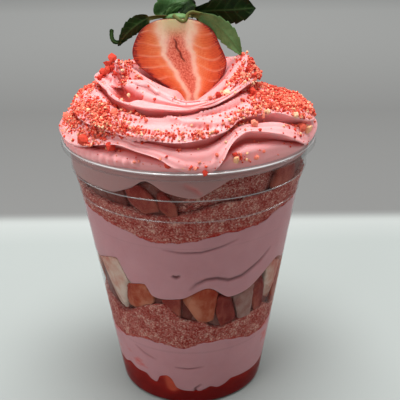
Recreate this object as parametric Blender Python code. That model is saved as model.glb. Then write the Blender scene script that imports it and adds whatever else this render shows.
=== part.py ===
"""Strawberry cheesecake cup: a clear cup filled with sauce, cream, crumble and diced strawberries, under
a swirl of cream that carries crumbs and half a strawberry with its leaves.

Lengths below are in millimetres and are turned into metres when a mesh is made. +Z is up and the origin is
the centre of the cup's foot. An azimuth is in degrees, 0 at the front (-Y) and positive towards +X. A
fraction runs from 0 on the cup's axis to 1 at its wall.
"""
import math

import bmesh
import bpy
import numpy as np
from mathutils import Vector

MM = 0.001
GAP = 0.3
MERGE_DISTANCE = 0.004

# ---- cup -----------------------------------------------------------------------------------------
CUP_HEIGHT = 108.0
FOOT_RADIUS = 30.0
LEDGE_HEIGHT, LEDGE_RADIUS = 87.5, 43.3
SHOULDER_HEIGHT, SHOULDER_RADIUS = 96.5, 45.8
NECK_HEIGHT, NECK_RADIUS = 104.6, 46.6
LIP_RADIUS = 49.5
LIP_DEPTH = 3.2
LIP_TOP_INSET = 1.9
MOUTH_RISE = 0.6
WALL = 0.6
STEP_OUT = 0.35
FLOOR_RISE = 2.4
CUP_SEGMENTS = 44

# ---- layers: (azimuth, height) where each surface meets the wall, and its height over the middle ----
LAYER_COLUMNS = 40
SAUCE_TOP = [(-150, 10), (-100, 12.5), (-60, 12.8), (-47, 10.4), (-30, 11.4), (-17, 12.2), (-5, 7.0),
             (8, 6.9), (16, 8.4), (32, 9.3), (46, 9.8), (62, 12), (95, 11), (130, 8.5), (165, 9.5)]
LOWER_CREAM_TOP = [(-170, 31), (-130, 29.5), (-90, 28), (-57, 27.8), (-30, 31.2), (-16, 30.6), (-5, 29),
                   (9, 32), (22, 31.9), (37, 30), (51, 28.9), (65, 29.9), (100, 32), (140, 29)]
LOWER_CRUMBLE_TOP = [(-165, 45), (-130, 48), (-95, 42), (-63, 43.6), (-50, 40.5), (-26, 49), (-16, 50.6),
                     (-3, 43), (6, 42.4), (18, 38.4), (33, 40.6), (50, 41.6), (66, 38.5), (95, 42),
                     (125, 46), (155, 41)]
MIDDLE_CREAM_FOOT = [(-150, 55), (-120, 60), (-90, 62), (-66, 62), (-57, 64), (-43, 67), (-39.5, 62),
                     (-36.5, 57.4), (-26, 58.8), (-21.5, 54), (-16, 53.2), (-5, 54), (10, 58.5), (24, 53),
                     (34, 54), (44.5, 58), (51, 60.6), (59, 62.2), (70, 59.5), (90, 58), (120, 64),
                     (150, 56), (180, 60)]
MIDDLE_CREAM_TOP = [(-140, 84), (-100, 81), (-57, 83.5), (-32, 80.9), (-15, 78.3), (-4, 78.8), (18, 81.8),
                    (38, 82.4), (51, 85.6), (67, 85.9), (100, 83), (140, 80), (180, 82)]
UPPER_CRUMBLE_TOP = [(-140, 91), (-100, 94), (-60, 92), (-40, 91), (-12, 89.5), (12, 93.5), (45, 96),
                     (65, 96.5), (100, 94), (140, 92), (180, 93)]
TOP_CREAM_FOOT = [(-140, 97.5), (-100, 98), (-63, 97), (-37, 97.1), (-26, 100), (-18, 103.6), (-9, 99.7),
                  (3, 97.6), (12, 100.9), (20, 104), (60, 104.2), (90, 102.5), (120, 99), (150, 101),
                  (180, 99)]
SAUCE_MIDDLE = 9.0
LOWER_CREAM_MIDDLE = 30.0
LOWER_CRUMBLE_MIDDLE = 44.0
MIDDLE_CREAM_MIDDLE = 82.0
UPPER_CRUMBLE_MIDDLE = 93.0
# The diced fruit lies outside these fractions, the cream comes down inside them
FRUIT_RING = (0.62, 0.70)
PLAIN_FRACTIONS = (0.45, 0.8)
RINGED_FRACTIONS = (0.4, *FRUIT_RING, 0.86)
CRUMBLE_RELIEF = 0.45

# ---- diced strawberries: corners (azimuth, height) of each piece's outline against the wall ------
LOWER_DICE = [[(-71, 40.5), (-44.5, 42.5), (-39.5, 56), (-37, 66), (-60, 69), (-72, 62)],
              [(-37.4, 47), (-33.5, 46), (-23, 50.5), (-21.8, 60), (-35.4, 59.5), (-38, 56)],
              [(-14, 48), (-6.2, 44.5), (-5.6, 53), (-9, 54), (-15, 52)],
              [(-4.4, 52.5), (4.6, 43.3), (13, 43.6), (15.6, 56.5), (9, 59), (-2, 55.5)],
              [(16.8, 45), (19.8, 39.3), (30, 41), (24.6, 52.2), (17.6, 53.5)],
              [(26.4, 52.6), (31.4, 41.5), (38.2, 42.5), (38.8, 55.5), (30, 54.8)],
              [(40, 50), (45.5, 40.5), (50, 41.5), (50, 52), (47, 58), (40.2, 57)],
              [(51.3, 47), (61, 43), (62, 60), (52.4, 62.5)],
              [(63, 41.5), (76.5, 41.5), (78, 57), (70, 61), (63.5, 60)],
              [(80, 44), (97, 43.2), (99, 55), (88, 58.5), (79.6, 54)],
              [(103, 48), (117, 46), (123.5, 53), (120, 62), (105.5, 60)],
              [(131, 45), (144, 42.5), (149, 49), (145.5, 56), (132, 54)],
              [(156.5, 43), (172, 44.5), (174, 53), (163, 58), (156, 52)],
              [(182, 46), (196, 45), (200, 52), (192, 58), (181.5, 56)],
              [(208, 47.5), (222, 48), (226, 57), (214, 60), (207.6, 55)],
              [(234, 47), (248, 47.6), (252, 58), (243, 63), (233.6, 60)],
              [(259, 45), (273, 43), (277, 54), (270, 65), (260, 62)]]
UPPER_DICE = [[(-28.4, 100), (-27, 95.5), (-19, 91.2), (-15.2, 92.2), (-17.5, 98), (-25, 103)],
              [(-14, 94.6), (-9, 90.6), (-5, 91), (-5.4, 94), (-10.6, 98.6), (-14, 97.6)],
              [(43, 98), (54, 96.6), (60, 99.5), (57, 103), (45, 103.4)],
              [(112, 95), (124, 93.6), (130, 96), (126, 99), (113.5, 98.6)],
              [(214, 93), (226, 91.8), (232, 95), (227, 97.4), (215.5, 97)]]
DICE_OUTLINE_POINTS = 8
DICE_SECTIONS = ((0.8, 0.995), (1.0, 0.94), (0.82, 0.74))      # share of the outline's size at each fraction
DICE_CLEAR = 1.1

# ---- swirl of cream: (azimuth, radius, height) of the rings that the swirl's base form passes through ----
RING_AZIMUTHS = (-180, -135, -90, -54, -32, -15, 0, 14, 30, 47, 64, 90, 135)
COLLAR = (45.7, 105.4)
RIM_RING = ((47.5, 108.8), (47.6, 108.8), (47.4, 108.8), (47.2, 108.2), (47, 107.8), (46.8, 107.5),
            (46.8, 107.5), (46.8, 107.6), (47, 107.9), (47.3, 108.2), (47.7, 108.6), (48, 108.9),
            (47.6, 108.7))
LOW_RING = ((46.8, 110.8), (46.9, 111), (47.2, 112.3), (47.2, 112), (47.2, 111.6), (47.2, 111.2), (47.2, 111),
            (47.2, 111.4), (47.4, 111.8), (47.7, 112), (48.1, 112), (48.2, 111.8), (47.2, 110.6))
WAIST_RING = ((44.8, 113.8), (45, 114.4), (44.8, 116.6), (45.6, 116.5), (46, 116), (46, 115.5), (46, 115),
              (46, 115.6), (46.2, 116), (46.6, 116.2), (46.9, 116.2), (46, 115.8), (44.6, 112.8))
SHOULDER_RING = ((41.5, 117.2), (41.6, 117.6), (41.2, 120.4), (42.3, 120.6), (42.7, 120.2), (42.6, 119.8),
                 (42.5, 119.5), (42.6, 120), (43, 120.4), (43.4, 120.3), (43.4, 120), (41.4, 119.2),
                 (40, 114.8))
UPPER_RING = ((35.6, 122.6), (36.2, 123), (37, 125.2), (37, 125.3), (37.5, 124.6), (38, 124.2), (38, 124),
              (37.5, 124.2), (37.4, 124.2), (37, 124), (35.6, 123.2), (32.6, 122.6), (33, 119.8))
NECK_RING = ((28.8, 128), (29.8, 128.6), (32.6, 129), (31.5, 128.8), (32.5, 128), (34, 127), (35.6, 126.2),
             (34.8, 126.6), (32.8, 127.4), (30.6, 128.2), (28.6, 128), (26, 127.4), (26.8, 125.8))
LIP_RING = ((21.6, 133), (22, 133), (26, 133), (28.5, 131.4), (27.5, 132), (30.5, 129.6), (33, 127.4),
            (32, 128), (29.5, 129.6), (26.5, 132.6), (24, 134.6), (20.6, 135.8), (20.4, 132.6))
CRATER_WALL = (0.55, 0.50)     # share of the lip's radius, and of the drop from the lip to the crater's floor
CRATER_FLOOR = 116.6

# crests of the swirl: (azimuth, level), where a level counts the rings above, and each crest's height
CREST_LOW = [(-180, 3.2), (-140, 3.6), (-100, 3.0), (-62, 3.0), (-48, 3.3), (-29, 4.0), (-20, 3.8),
             (-13, 3.6), (-5, 3.0), (2, 2.4), (8, 2.2), (13, 3.1), (17, 4.0), (22, 4.6), (27, 4.8),
             (34, 4.6), (42, 4.2), (49, 3.6), (67, 2.3), (95, 2.5), (140, 3.0)]
CREST_MIDDLE = [(-180, 4.9), (-130, 4.6), (-90, 4.9), (-50, 4.7), (-29, 4.6), (-5, 4.5), (3, 4.6), (15, 4.9),
                (29, 5.5), (37, 5.5), (45, 5.4), (56, 4.7), (72, 4.0), (95, 4.2), (140, 4.7)]
CREST_HIGH = [(-180, 6.4), (-120, 6.7), (-75, 6.95), (-57, 6.75), (-48, 6.5), (-37, 6.4), (-24, 6.4),
              (-14, 6.5), (2, 6.85), (11, 7.2), (22, 7.5), (34, 7.6), (50, 7.5), (90, 7.2), (120, 6.8),
              (145, 6.4)]
CREST_HEIGHTS = (2.3, 2.2, 2.0, 0.8)
CREST_SPACING = 7.0
LIP_CLEAR_RISE, LIP_CLEAR_SLOPE = 6.0, 0.75
UNDERCUT = 0.9
UNDERCUT_SPREAD = 0.12
SWELL_FALL = (-0.35, 0.75)      # steps between which a crest's swell falls away
SMALLEST_SWELL = 0.15
LEVEL_NUDGE = 0.05
LEAN = 0.55
VALLEY_AT = 0.86
# Points (x, y), half width, height of each rope and fold
LOBES = [([(-30, -8), (-24, -8), (-18, -6.5), (-12, -6), (-7, -5.5), (-4.5, -5)], 4.4, 5.0),
         ([(-29, -12), (-22, -13.5), (-15, -14.5), (-9, -13.5)], 2.4, -3.0),
         ([(25, -5.5), (17, -9), (10, -9.5), (5.5, -8)], 3.6, 2.6)]
LOBE_LEVELS = (7.4, 8.2)
COLLAR_LEVEL, LIP_LEVEL, FLOOR_LEVEL = 1.0, 8.0, 10.0
SWIRL_COLUMNS = 56
BAND_STEPS = (0.0, 0.16, 0.38, 0.62, 0.80, 0.92)
CRATER_STEPS = (0.0, 0.16, 0.45, 0.75)

# ---- crumbs fused to the swirl: (azimuth, level, spread in azimuth, spread in levels, share) -----
CRUMB_PATCHES = [(55, 6.2, 14, 0.6, 3.0), (70, 5.6, 12, 0.8, 3.0), (66, 4.4, 9, 0.7, 2.6),
                 (34, 5.75, 10, 0.3, 1.2), (70, 7.7, 16, 0.4, 2.6), (45, 8.1, 12, 0.35, 2.0),
                 (22, 8.05, 8, 0.2, 0.8), (-72, 4.6, 10, 0.9, 1.6), (-50, 5.35, 10, 0.6, 2.2),
                 (-40, 5.0, 9, 0.5, 2.0), (-28, 4.95, 9, 0.3, 1.3), (-54, 4.1, 9, 0.5, 1.4),
                 (0, 4.95, 16, 0.22, 1.2), (-80, 7.4, 9, 0.4, 0.7), (-84, 6.2, 7, 0.5, 0.7),
                 (-52, 7.85, 9, 0.25, 0.8), (22, 3.0, 3.5, 0.35, 0.7), (26, 5.3, 8, 0.25, 1.0),
                 (-38, 3.6, 8, 0.3, 0.8), (2, 2.7, 13, 0.3, 0.35), (105, 5.8, 16, 1.2, 2.4),
                 (140, 5.4, 26, 1.5, 2.6), (-150, 5.6, 28, 1.5, 2.6), (-112, 5.2, 16, 1.2, 1.8)]
CRUMB_COUNT = 58
CRUMB_SIZES = (0.8, 1.6)
CRUMB_SINK = 0.35
CRUMB_CLEAR = 1.2
CRUMB_LEVELS = (2.3, 8.0)
CRUMB_UNEVENNESS = (0.7, 1.1)
CRUMB_SEED = 5

# ---- half strawberry -----------------------------------------------------------------------------
BERRY_TIP = (1.6, 0.0, 114.6)
BERRY_TOP = (-4.0, 0.0, 150.4)
BERRY_BEND = (0.2, 0.75)           # shares of the length between which the berry's middle moves across
BERRY_HALF_WIDTH = 17.3
BERRY_DEPTH = 15.2
BERRY_WIDEST = 1.357               # power that puts the widest place six tenths of the way up
BERRY_FULLNESS = (1.1, 0.34)       # powers that round the sides at the tip and at the top
FULLNESS_CHANGE = (0.4, 0.9)       # shares of the length between which the one power gives way to the other
BERRY_ROWS = 15
BERRY_BACK_STEPS = 9
BERRY_FRONT_STEPS = 4
BERRY_END_SET_BACK = 0.4

# ---- leaves: root, middle and end of the centre line, half width, wave, how far the leaf turns its face ----
LEAVES = [((-6.5, 2.4, 151.0), (-18.8, 1.2, 152.6), (-25.4, -1.5, 141.6), 3.2, 0.5, 20, 0.9),
          ((-10.4, 3.4, 150.4), (-8.4, 4.4, 154.6), (0.6, 6.0, 156.6), 4.2, 0.6, 20, 0.8),
          ((0.5, 3.6, 151.4), (12, 4.6, 153.8), (25.0, 4.6, 153.4), 5.9, 0.7, -15, 1.6),
          ((1.6, 2.0, 151.6), (12.2, 0.4, 150.8), (19.8, -4.2, 138.4), 3.9, 0.4, -20, 1.25),
          ((-2.2, 4.4, 151.2), (0.5, 8.5, 154), (3.0, 14.5, 153.6), 4.0, 0.5, 0, 0.8),
          ((-6.2, 2.8, 149.9), (-7.6, 3.2, 152.6), (-2.4, 3.6, 154.8), 2.0, 0.3, -25, 0.8),
          ((-24.6, -1.3, 142.6), (-28.6, -1.8, 141.4), (-27.7, -1.4, 147.0), 0.8, 0.1, 0, 0.8)]
# Share of each leaf's length that is bare stem
LEAF_STEMS = (0.34, 0.02, 0.10, 0.14, 0.05, 0.02, 0.0)
LEAF_SPAN = (0.10, 0.885)          # where on a half wave a leaf's width starts, and how far along it goes
LEAF_FULLNESS = 0.7
LEAF_WAVES = (7.0, 2.2)            # radians of wave along a leaf and across it
LEAF_CUP = 0.9                     # share of the wave's height by which the edges droop
LEAF_TIP_REACH = 0.06
STEM_HALF_WIDTH = 0.75
LEAF_THICKNESS = 0.7
LEAF_STATIONS = 7
LEAF_ACROSS = 2
HUB_CENTRE = (-4.0, 3.0, 150.6)
HUB_SIZE = (4.6, 2.6, 1.5)
STALK_POINTS = [(-3.2, 0.2, 150.6), (-1.4, -0.2, 149.9), (-0.2, 0.0, 150.6), (0.3, 0.6, 151.9),
                (2.0, 1.0, 152.8), (4.6, 1.6, 152.2), (7.0, 1.8, 151.6)]
STALK_RADIUS = 0.65
STALK_SIDES = 6

# ---- colours (red, green, blue), roughness -------------------------------------------------------
CLEAR_PLASTIC = ((0.86, 0.89, 0.90), 0.08)
SAUCE_RED = ((0.30, 0.012, 0.012), 0.20)
CREAM_PINK = ((0.84, 0.40, 0.45), 0.45)
CRUMBLE_ROSE = ((0.60, 0.21, 0.19), 0.85)
FRUIT_RED = ((0.58, 0.075, 0.045), 0.35)
BERRY_FLESH = ((0.80, 0.19, 0.10), 0.35)
LEAF_GREEN = ((0.045, 0.14, 0.03), 0.50)


# ---- curves and surfaces -------------------------------------------------------------------------
def closed_curve(points, azimuth):
    """Value at each azimuth of the smooth closed curve through (azimuth, value) points, without overshoot."""
    knots = np.array([point[0] for point in points], float)
    values = np.array([point[1] for point in points], float)
    order = np.argsort((knots + 180.0) % 360.0)
    knots = (knots[order] + 180.0) % 360.0 - 180.0
    values = values[order]
    knots = np.concatenate([knots - 360.0, knots, knots + 360.0])
    values = np.tile(values, 3)
    spans = np.diff(knots)
    rises = np.diff(values) / spans
    before, after = rises[:-1], rises[1:]
    same_way = before * after > 0
    slopes = np.zeros(len(knots))
    slopes[1:-1][same_way] = (2 * before * after)[same_way] / (before + after)[same_way]
    at = (np.asarray(azimuth, float) + 180.0) % 360.0 - 180.0
    index = np.clip(np.searchsorted(knots, at, side="right") - 1, 0, len(spans) - 1)
    span = spans[index]
    t = (at - knots[index]) / span
    start = values[index] * (1 + 2 * t) * (1 - t) ** 2 + slopes[index] * span * t * (1 - t) ** 2
    end = values[index + 1] * t * t * (3 - 2 * t) + slopes[index + 1] * span * t * t * (t - 1)
    return start + end


def smooth_step(low, high, value):
    """0 below low, 1 above high, and a smooth rise between."""
    t = np.clip((np.asarray(value, float) - low) / (high - low), 0.0, 1.0)
    return t * t * (3 - 2 * t)


def around(azimuth, radius, height):
    """Points at azimuths, radii and heights, as an array of x, y, z."""
    turn = np.radians(azimuth)
    return np.stack(np.broadcast_arrays(radius * np.sin(turn), -radius * np.cos(turn), height), axis=-1)


def columns(count):
    """Azimuths of evenly spaced columns."""
    return np.arange(count) * 360.0 / count - 180.0


def outer_radius(height):
    """Outer radius of the cup's wall."""
    heights = (0.0, LEDGE_HEIGHT, SHOULDER_HEIGHT, NECK_HEIGHT)
    return np.interp(height, heights, (FOOT_RADIUS, LEDGE_RADIUS, SHOULDER_RADIUS, NECK_RADIUS))


def filling_radius(height):
    """Radius that the filling reaches inside the cup's wall."""
    return outer_radius(height) - WALL - GAP


def clear_of_lip(radius, height):
    """The radius, held inside the cup's mouth and inside a slope that rises from the lip's inner edge."""
    mouth_height, lip_edge = NECK_HEIGHT + MOUTH_RISE, LIP_RADIUS - LIP_TOP_INSET
    heights = (mouth_height, CUP_HEIGHT, CUP_HEIGHT + LIP_CLEAR_RISE)
    limits = (NECK_RADIUS - WALL, lip_edge, lip_edge + LIP_CLEAR_SLOPE * LIP_CLEAR_RISE)
    return np.minimum(radius, np.interp(height, heights, limits) - GAP)


def bowl_height(edge, middle, azimuth, fraction):
    """Height of a layer's surface that meets the wall along the edge curve and is level over the middle."""
    return middle + (closed_curve(edge, azimuth) - middle) * fraction ** 2


def sauce_top(azimuth, fraction):
    return bowl_height(SAUCE_TOP, SAUCE_MIDDLE, azimuth, fraction)


def lower_cream_top(azimuth, fraction):
    return bowl_height(LOWER_CREAM_TOP, LOWER_CREAM_MIDDLE, azimuth, fraction)


def lower_crumble_top(azimuth, fraction):
    return bowl_height(LOWER_CRUMBLE_TOP, LOWER_CRUMBLE_MIDDLE, azimuth, fraction)


def middle_cream_top(azimuth, fraction):
    return bowl_height(MIDDLE_CREAM_TOP, MIDDLE_CREAM_MIDDLE, azimuth, fraction)


def upper_crumble_top(azimuth, fraction):
    return bowl_height(UPPER_CRUMBLE_TOP, UPPER_CRUMBLE_MIDDLE, azimuth, fraction)


def over_fruit(edge, below, azimuth, fraction):
    """Underside of a cream layer that spans the ring of fruit and comes down to the layer below it."""
    rise = smooth_step(*FRUIT_RING, fraction)
    return below + (closed_curve(edge, azimuth) - below) * rise


def middle_cream_foot(azimuth, fraction):
    return over_fruit(MIDDLE_CREAM_FOOT, lower_crumble_top(azimuth, fraction), azimuth, fraction)


def top_cream_foot(azimuth, fraction):
    return over_fruit(TOP_CREAM_FOOT, upper_crumble_top(azimuth, fraction), azimuth, fraction)


# ---- the swirl -----------------------------------------------------------------------------------
def swirl_rings(azimuth):
    """Radius and height of every ring of the swirl's base form at each azimuth, the collar first."""
    lip_radius = closed_curve(list(zip(RING_AZIMUTHS, [ring[0] for ring in LIP_RING])), azimuth)
    lip_height = closed_curve(list(zip(RING_AZIMUTHS, [ring[1] for ring in LIP_RING])), azimuth)
    radii = [np.full_like(azimuth, COLLAR[0])]
    heights = [np.full_like(azimuth, COLLAR[1])]
    for ring in (RIM_RING, LOW_RING, WAIST_RING, SHOULDER_RING, UPPER_RING, NECK_RING):
        radii.append(closed_curve(list(zip(RING_AZIMUTHS, [place[0] for place in ring])), azimuth))
        heights.append(closed_curve(list(zip(RING_AZIMUTHS, [place[1] for place in ring])), azimuth))
    radii += [lip_radius, lip_radius * CRATER_WALL[0], np.zeros_like(azimuth)]
    heights += [lip_height, lip_height + (CRATER_FLOOR - lip_height) * CRATER_WALL[1],
                np.full_like(azimuth, CRATER_FLOOR)]
    return np.array(radii), np.array(heights)


def on_rings(rings, level):
    """Values on the smooth curve through the rings at each level, where level 1 is the first ring."""
    last = len(rings) - 1
    at = np.clip(np.asarray(level, float) - 1.0, 0.0, last)
    index = np.minimum(at.astype(int), last - 1)
    t = at - index
    column = np.arange(rings.shape[1])
    before = rings[np.maximum(index - 1, 0), column]
    start = rings[index, column]
    end = rings[index + 1, column]
    after = rings[np.minimum(index + 2, last), column]
    return 0.5 * (2 * start + (end - before) * t + (2 * before - 5 * start + 4 * end - after) * t ** 2
                  + (3 * start - before - 3 * end + after) * t ** 3)


def crest_levels(azimuth):
    """Levels of the collar, the three crests, the lip and the crater's floor at each azimuth."""
    low, middle, high = (closed_curve(crest, azimuth) for crest in (CREST_LOW, CREST_MIDDLE, CREST_HIGH))
    collar, lip, floor = (np.full_like(azimuth, level) for level in (COLLAR_LEVEL, LIP_LEVEL, FLOOR_LEVEL))
    return [collar, low, middle, high, lip, floor]


def lobe_rise(points):
    """How far the ropes of cream beside the half strawberry stand above the crater, and the folds below it."""
    rise = np.zeros(len(points))
    for line, half_width, height in LOBES:
        gap = np.full(len(points), np.inf)
        for start, end in zip(np.array(line[:-1], float), np.array(line[1:], float)):
            offset, run = points[:, :2] - start, end - start
            along = np.clip(offset @ run / (run @ run), 0.0, 1.0)
            gap = np.minimum(gap, np.linalg.norm(offset - along[:, None] * run, axis=1))
        rise += height * np.exp(-(gap / half_width) ** 2)
    return rise


def swirl_row(azimuth, band, step):
    """Points of the swirl a share of the way from one crest to the next, at each azimuth.

    The cream swells to a crest, falls away slowly above it, and is drawn in below the next crest, which
    leans over it.
    """
    radii, heights = swirl_rings(azimuth)
    levels = crest_levels(azimuth)
    level = levels[band] + (levels[band + 1] - levels[band]) * step
    radius, height = on_rings(radii, level), on_rings(heights, level)
    climb = np.stack([on_rings(radii, level + LEVEL_NUDGE) - on_rings(radii, level - LEVEL_NUDGE),
                      on_rings(heights, level + LEVEL_NUDGE) - on_rings(heights, level - LEVEL_NUDGE)])
    climb /= np.maximum(np.hypot(*climb), 1e-6)
    outward = np.stack([climb[1], -climb[0]])
    crest = (0.0,) + CREST_HEIGHTS + (0.0,)
    crest_radius = [on_rings(radii, each) for each in levels]
    crest_height = [on_rings(heights, each) for each in levels]
    spacing = np.hypot(crest_radius[band + 1] - crest_radius[band], crest_height[band + 1] - crest_height[band])
    size = np.clip(spacing / CREST_SPACING, SMALLEST_SWELL, 1.0)
    falling = crest[band] * (1 - smooth_step(*SWELL_FALL, step)) / (1 - float(smooth_step(*SWELL_FALL, 0.0)))
    rising = crest[band + 1] * float(smooth_step(VALLEY_AT, 1.0, step))
    valley = math.exp(-((step - VALLEY_AT) / UNDERCUT_SPREAD) ** 2)
    drawn_in = UNDERCUT * crest[band + 1] * valley * (step < 1.0)
    if band == len(levels) - 2:
        rising = drawn_in = 0.0
    crest_size = size if band else np.ones_like(size)
    swell = falling * crest_size + (rising - drawn_in) * size
    shift = -LEAN * np.maximum(swell, 0.0)
    radius = radius + outward[0] * swell + climb[0] * shift
    height = height + outward[1] * swell + climb[1] * shift
    place = around(azimuth, clear_of_lip(np.maximum(radius, 0.0), height), height)
    place[:, 2] += lobe_rise(place) * smooth_step(*LOBE_LEVELS, level)
    return place


def swirl_rows(azimuth):
    """Every row of the swirl's surface, from its collar inside the cup's rim to the floor of the crater."""
    rows = [swirl_row(azimuth, band, step) for band in range(4) for step in BAND_STEPS]
    return rows + [swirl_row(azimuth, 4, step) for step in CRATER_STEPS]


def swirl_point(azimuth, level):
    """A point of the swirl near a level, and the direction that faces out of the cream there."""
    def at(turn, height):
        angle = np.array([turn], float)
        levels = [float(each[0]) for each in crest_levels(angle)]
        band = max(index for index in range(5) if levels[index] <= height)
        step = (height - levels[band]) / (levels[band + 1] - levels[band])
        return swirl_row(angle, band, min(step, 0.999))[0]

    place = at(azimuth, level)
    across = at(azimuth + 1.0, level) - at(azimuth - 1.0, level)
    up = at(azimuth, level + 0.04) - at(azimuth, level - 0.04)
    facing = np.cross(across, up)
    return place, facing / np.linalg.norm(facing)


# ---- meshes --------------------------------------------------------------------------------------
def material(name, colour, roughness, alpha=1.0):
    """A plain Principled material of one colour."""
    made = bpy.data.materials.new(name)
    made.use_nodes = True
    shader = made.node_tree.nodes["Principled BSDF"]
    shader.inputs["Base Color"].default_value = (*colour, 1.0)
    shader.inputs["Roughness"].default_value = roughness
    shader.inputs["Metallic"].default_value = 0.0
    shader.inputs["Alpha"].default_value = alpha
    return made


def object_from(name, mesh_builder, finish):
    """A scene object from a bmesh, with its faces turned outwards and shaded smooth."""
    bmesh.ops.recalc_face_normals(mesh_builder, faces=mesh_builder.faces)
    if mesh_builder.calc_volume(signed=True) < 0:
        bmesh.ops.reverse_faces(mesh_builder, faces=mesh_builder.faces)
    mesh = bpy.data.meshes.new(name)
    mesh_builder.to_mesh(mesh)
    mesh_builder.free()
    mesh.shade_smooth()
    mesh.materials.append(finish)
    made = bpy.data.objects.new(name, mesh)
    bpy.context.scene.collection.objects.link(made)
    return made


def ring_solid(name, rings, first, last, finish, mirrored_from=None):
    """A closed solid through rings of points, capped by fans to a first and a last point.

    Rings that shrink are split along the other diagonal than rings that grow, so that two layers meet in like
    triangles. So are the quads past the column mirrored_from, for a leaf's two faces.
    """
    builder = bmesh.new()
    start = builder.verts.new(np.asarray(first, float) * MM)
    end = builder.verts.new(np.asarray(last, float) * MM)
    loops = [[builder.verts.new(point * MM) for point in ring] for ring in rings]
    reach = [np.hypot(*np.asarray(ring)[:, :2].T).mean() for ring in rings]
    count = len(loops[0])
    for column in range(count):
        beside = (column + 1) % count
        builder.faces.new((start, loops[0][beside], loops[0][column]))
        builder.faces.new((end, loops[-1][column], loops[-1][beside]))
        for band, (below, above) in enumerate(zip(loops, loops[1:])):
            a, b, c, d = below[column], below[beside], above[beside], above[column]
            mirrored = mirrored_from is not None and column >= mirrored_from
            if mirrored != (reach[band + 1] < reach[band]):
                builder.faces.new((a, b, d))
                builder.faces.new((b, c, d))
            else:
                builder.faces.new((a, b, c))
                builder.faces.new((a, c, d))
    return object_from(name, builder, finish)


def combine(base, pieces, operation, solver="EXACT"):
    """Joins pieces to a solid, or cuts them out of it, and removes them."""
    group = bpy.data.collections.new("pieces_of_" + base.name)
    bpy.context.scene.collection.children.link(group)
    for piece in pieces:
        bpy.context.scene.collection.objects.unlink(piece)
        group.objects.link(piece)
    boolean = base.modifiers.new("combine", "BOOLEAN")
    boolean.operand_type = "COLLECTION"
    boolean.collection = group
    boolean.operation = operation
    boolean.solver = solver
    bpy.context.view_layer.objects.active = base
    bpy.ops.object.modifier_apply(modifier=boolean.name)
    for piece in pieces:
        bpy.data.objects.remove(piece)
    bpy.data.collections.remove(group)


def keep_largest_body(made):
    """Drops loose scraps, and fills hollows that no opening reaches, by keeping the largest connected shell."""
    builder = bmesh.new()
    builder.from_mesh(made.data)
    bmesh.ops.remove_doubles(builder, verts=builder.verts, dist=MERGE_DISTANCE * MM)
    bmesh.ops.triangulate(builder, faces=builder.faces)
    unseen = set(builder.faces)
    shells = []
    while unseen:
        shell, front = set(), [unseen.pop()]
        while front:
            face = front.pop()
            shell.add(face)
            for edge in face.edges:
                for other in edge.link_faces:
                    if other in unseen:
                        unseen.discard(other)
                        front.append(other)
        shells.append(shell)
    largest = max(shells, key=len)
    scraps = [face for shell in shells if shell is not largest for face in shell]
    bmesh.ops.delete(builder, geom=scraps, context="FACES")
    loose = [vertex for vertex in builder.verts if not vertex.link_faces]
    bmesh.ops.delete(builder, geom=loose, context="VERTS")
    builder.to_mesh(made.data)
    builder.free()


# ---- cup -----------------------------------------------------------------------------------------
def cup_profile():
    """Radius and height along the cup's section, from under its floor round the lip to the top of its floor."""
    lip_middle = CUP_HEIGHT - LIP_DEPTH / 2
    outside = [(FOOT_RADIUS - 4.6, FLOOR_RISE), (FOOT_RADIUS - 2.4, 0.3), (FOOT_RADIUS - 1.6, 0.0),
               (FOOT_RADIUS - 0.6, 0.0), (outer_radius(1.0), 1.0), (LEDGE_RADIUS, LEDGE_HEIGHT - 0.5),
               (LEDGE_RADIUS + STEP_OUT, LEDGE_HEIGHT + 0.2), (SHOULDER_RADIUS - 0.1, SHOULDER_HEIGHT - 0.5),
               (SHOULDER_RADIUS + STEP_OUT, SHOULDER_HEIGHT + 0.2), (NECK_RADIUS, NECK_HEIGHT)]
    lip = [(LIP_RADIUS - 0.9, CUP_HEIGHT - LIP_DEPTH), (LIP_RADIUS, lip_middle),
           (LIP_RADIUS - 0.9, CUP_HEIGHT - 0.3), (LIP_RADIUS - LIP_TOP_INSET, CUP_HEIGHT)]
    inside = [(NECK_RADIUS - WALL, NECK_HEIGHT + MOUTH_RISE),
              (SHOULDER_RADIUS - WALL + STEP_OUT, SHOULDER_HEIGHT + 0.4),
              (SHOULDER_RADIUS - WALL - 0.1, SHOULDER_HEIGHT - 0.3),
              (LEDGE_RADIUS - WALL + STEP_OUT, LEDGE_HEIGHT + 0.4), (LEDGE_RADIUS - WALL, LEDGE_HEIGHT - 0.3),
              (outer_radius(1.8) - WALL, 1.8), (FOOT_RADIUS - 1.0, 0.7), (FOOT_RADIUS - 2.0, 0.8),
              (FOOT_RADIUS - 4.3, FLOOR_RISE + WALL)]
    return outside + lip + inside


def make_cup():
    azimuth = columns(CUP_SEGMENTS)
    rings = [around(azimuth, radius, height) for radius, height in cup_profile()]
    finish = material("clear_plastic", *CLEAR_PLASTIC, alpha=0.35)
    ring_solid("cup", rings, (0, 0, FLOOR_RISE), (0, 0, FLOOR_RISE + WALL), finish)


# ---- layers --------------------------------------------------------------------------------------
def surface_rings(surface, fractions, lift):
    """Rings of points over a layer's surface, moved up by lift."""
    azimuth = columns(LAYER_COLUMNS)
    reach = filling_radius(surface(azimuth, 1.0))
    return [around(azimuth, reach * fraction, surface(azimuth, fraction) + lift) for fraction in fractions]


def wall_rings(foot, top, steps, relief, seed):
    """Rings of points down the wall side of a layer, from its top to its foot, roughened inwards by relief."""
    azimuth = columns(LAYER_COLUMNS)
    draw = np.random.default_rng(seed)
    upper, lower = top(azimuth, 1.0) - GAP / 2, foot(azimuth, 1.0) + GAP / 2
    rings = []
    for step in steps:
        height = upper + (lower - upper) * step
        rings.append(around(azimuth, filling_radius(height) - relief * draw.random(LAYER_COLUMNS), height))
    return rings


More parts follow.
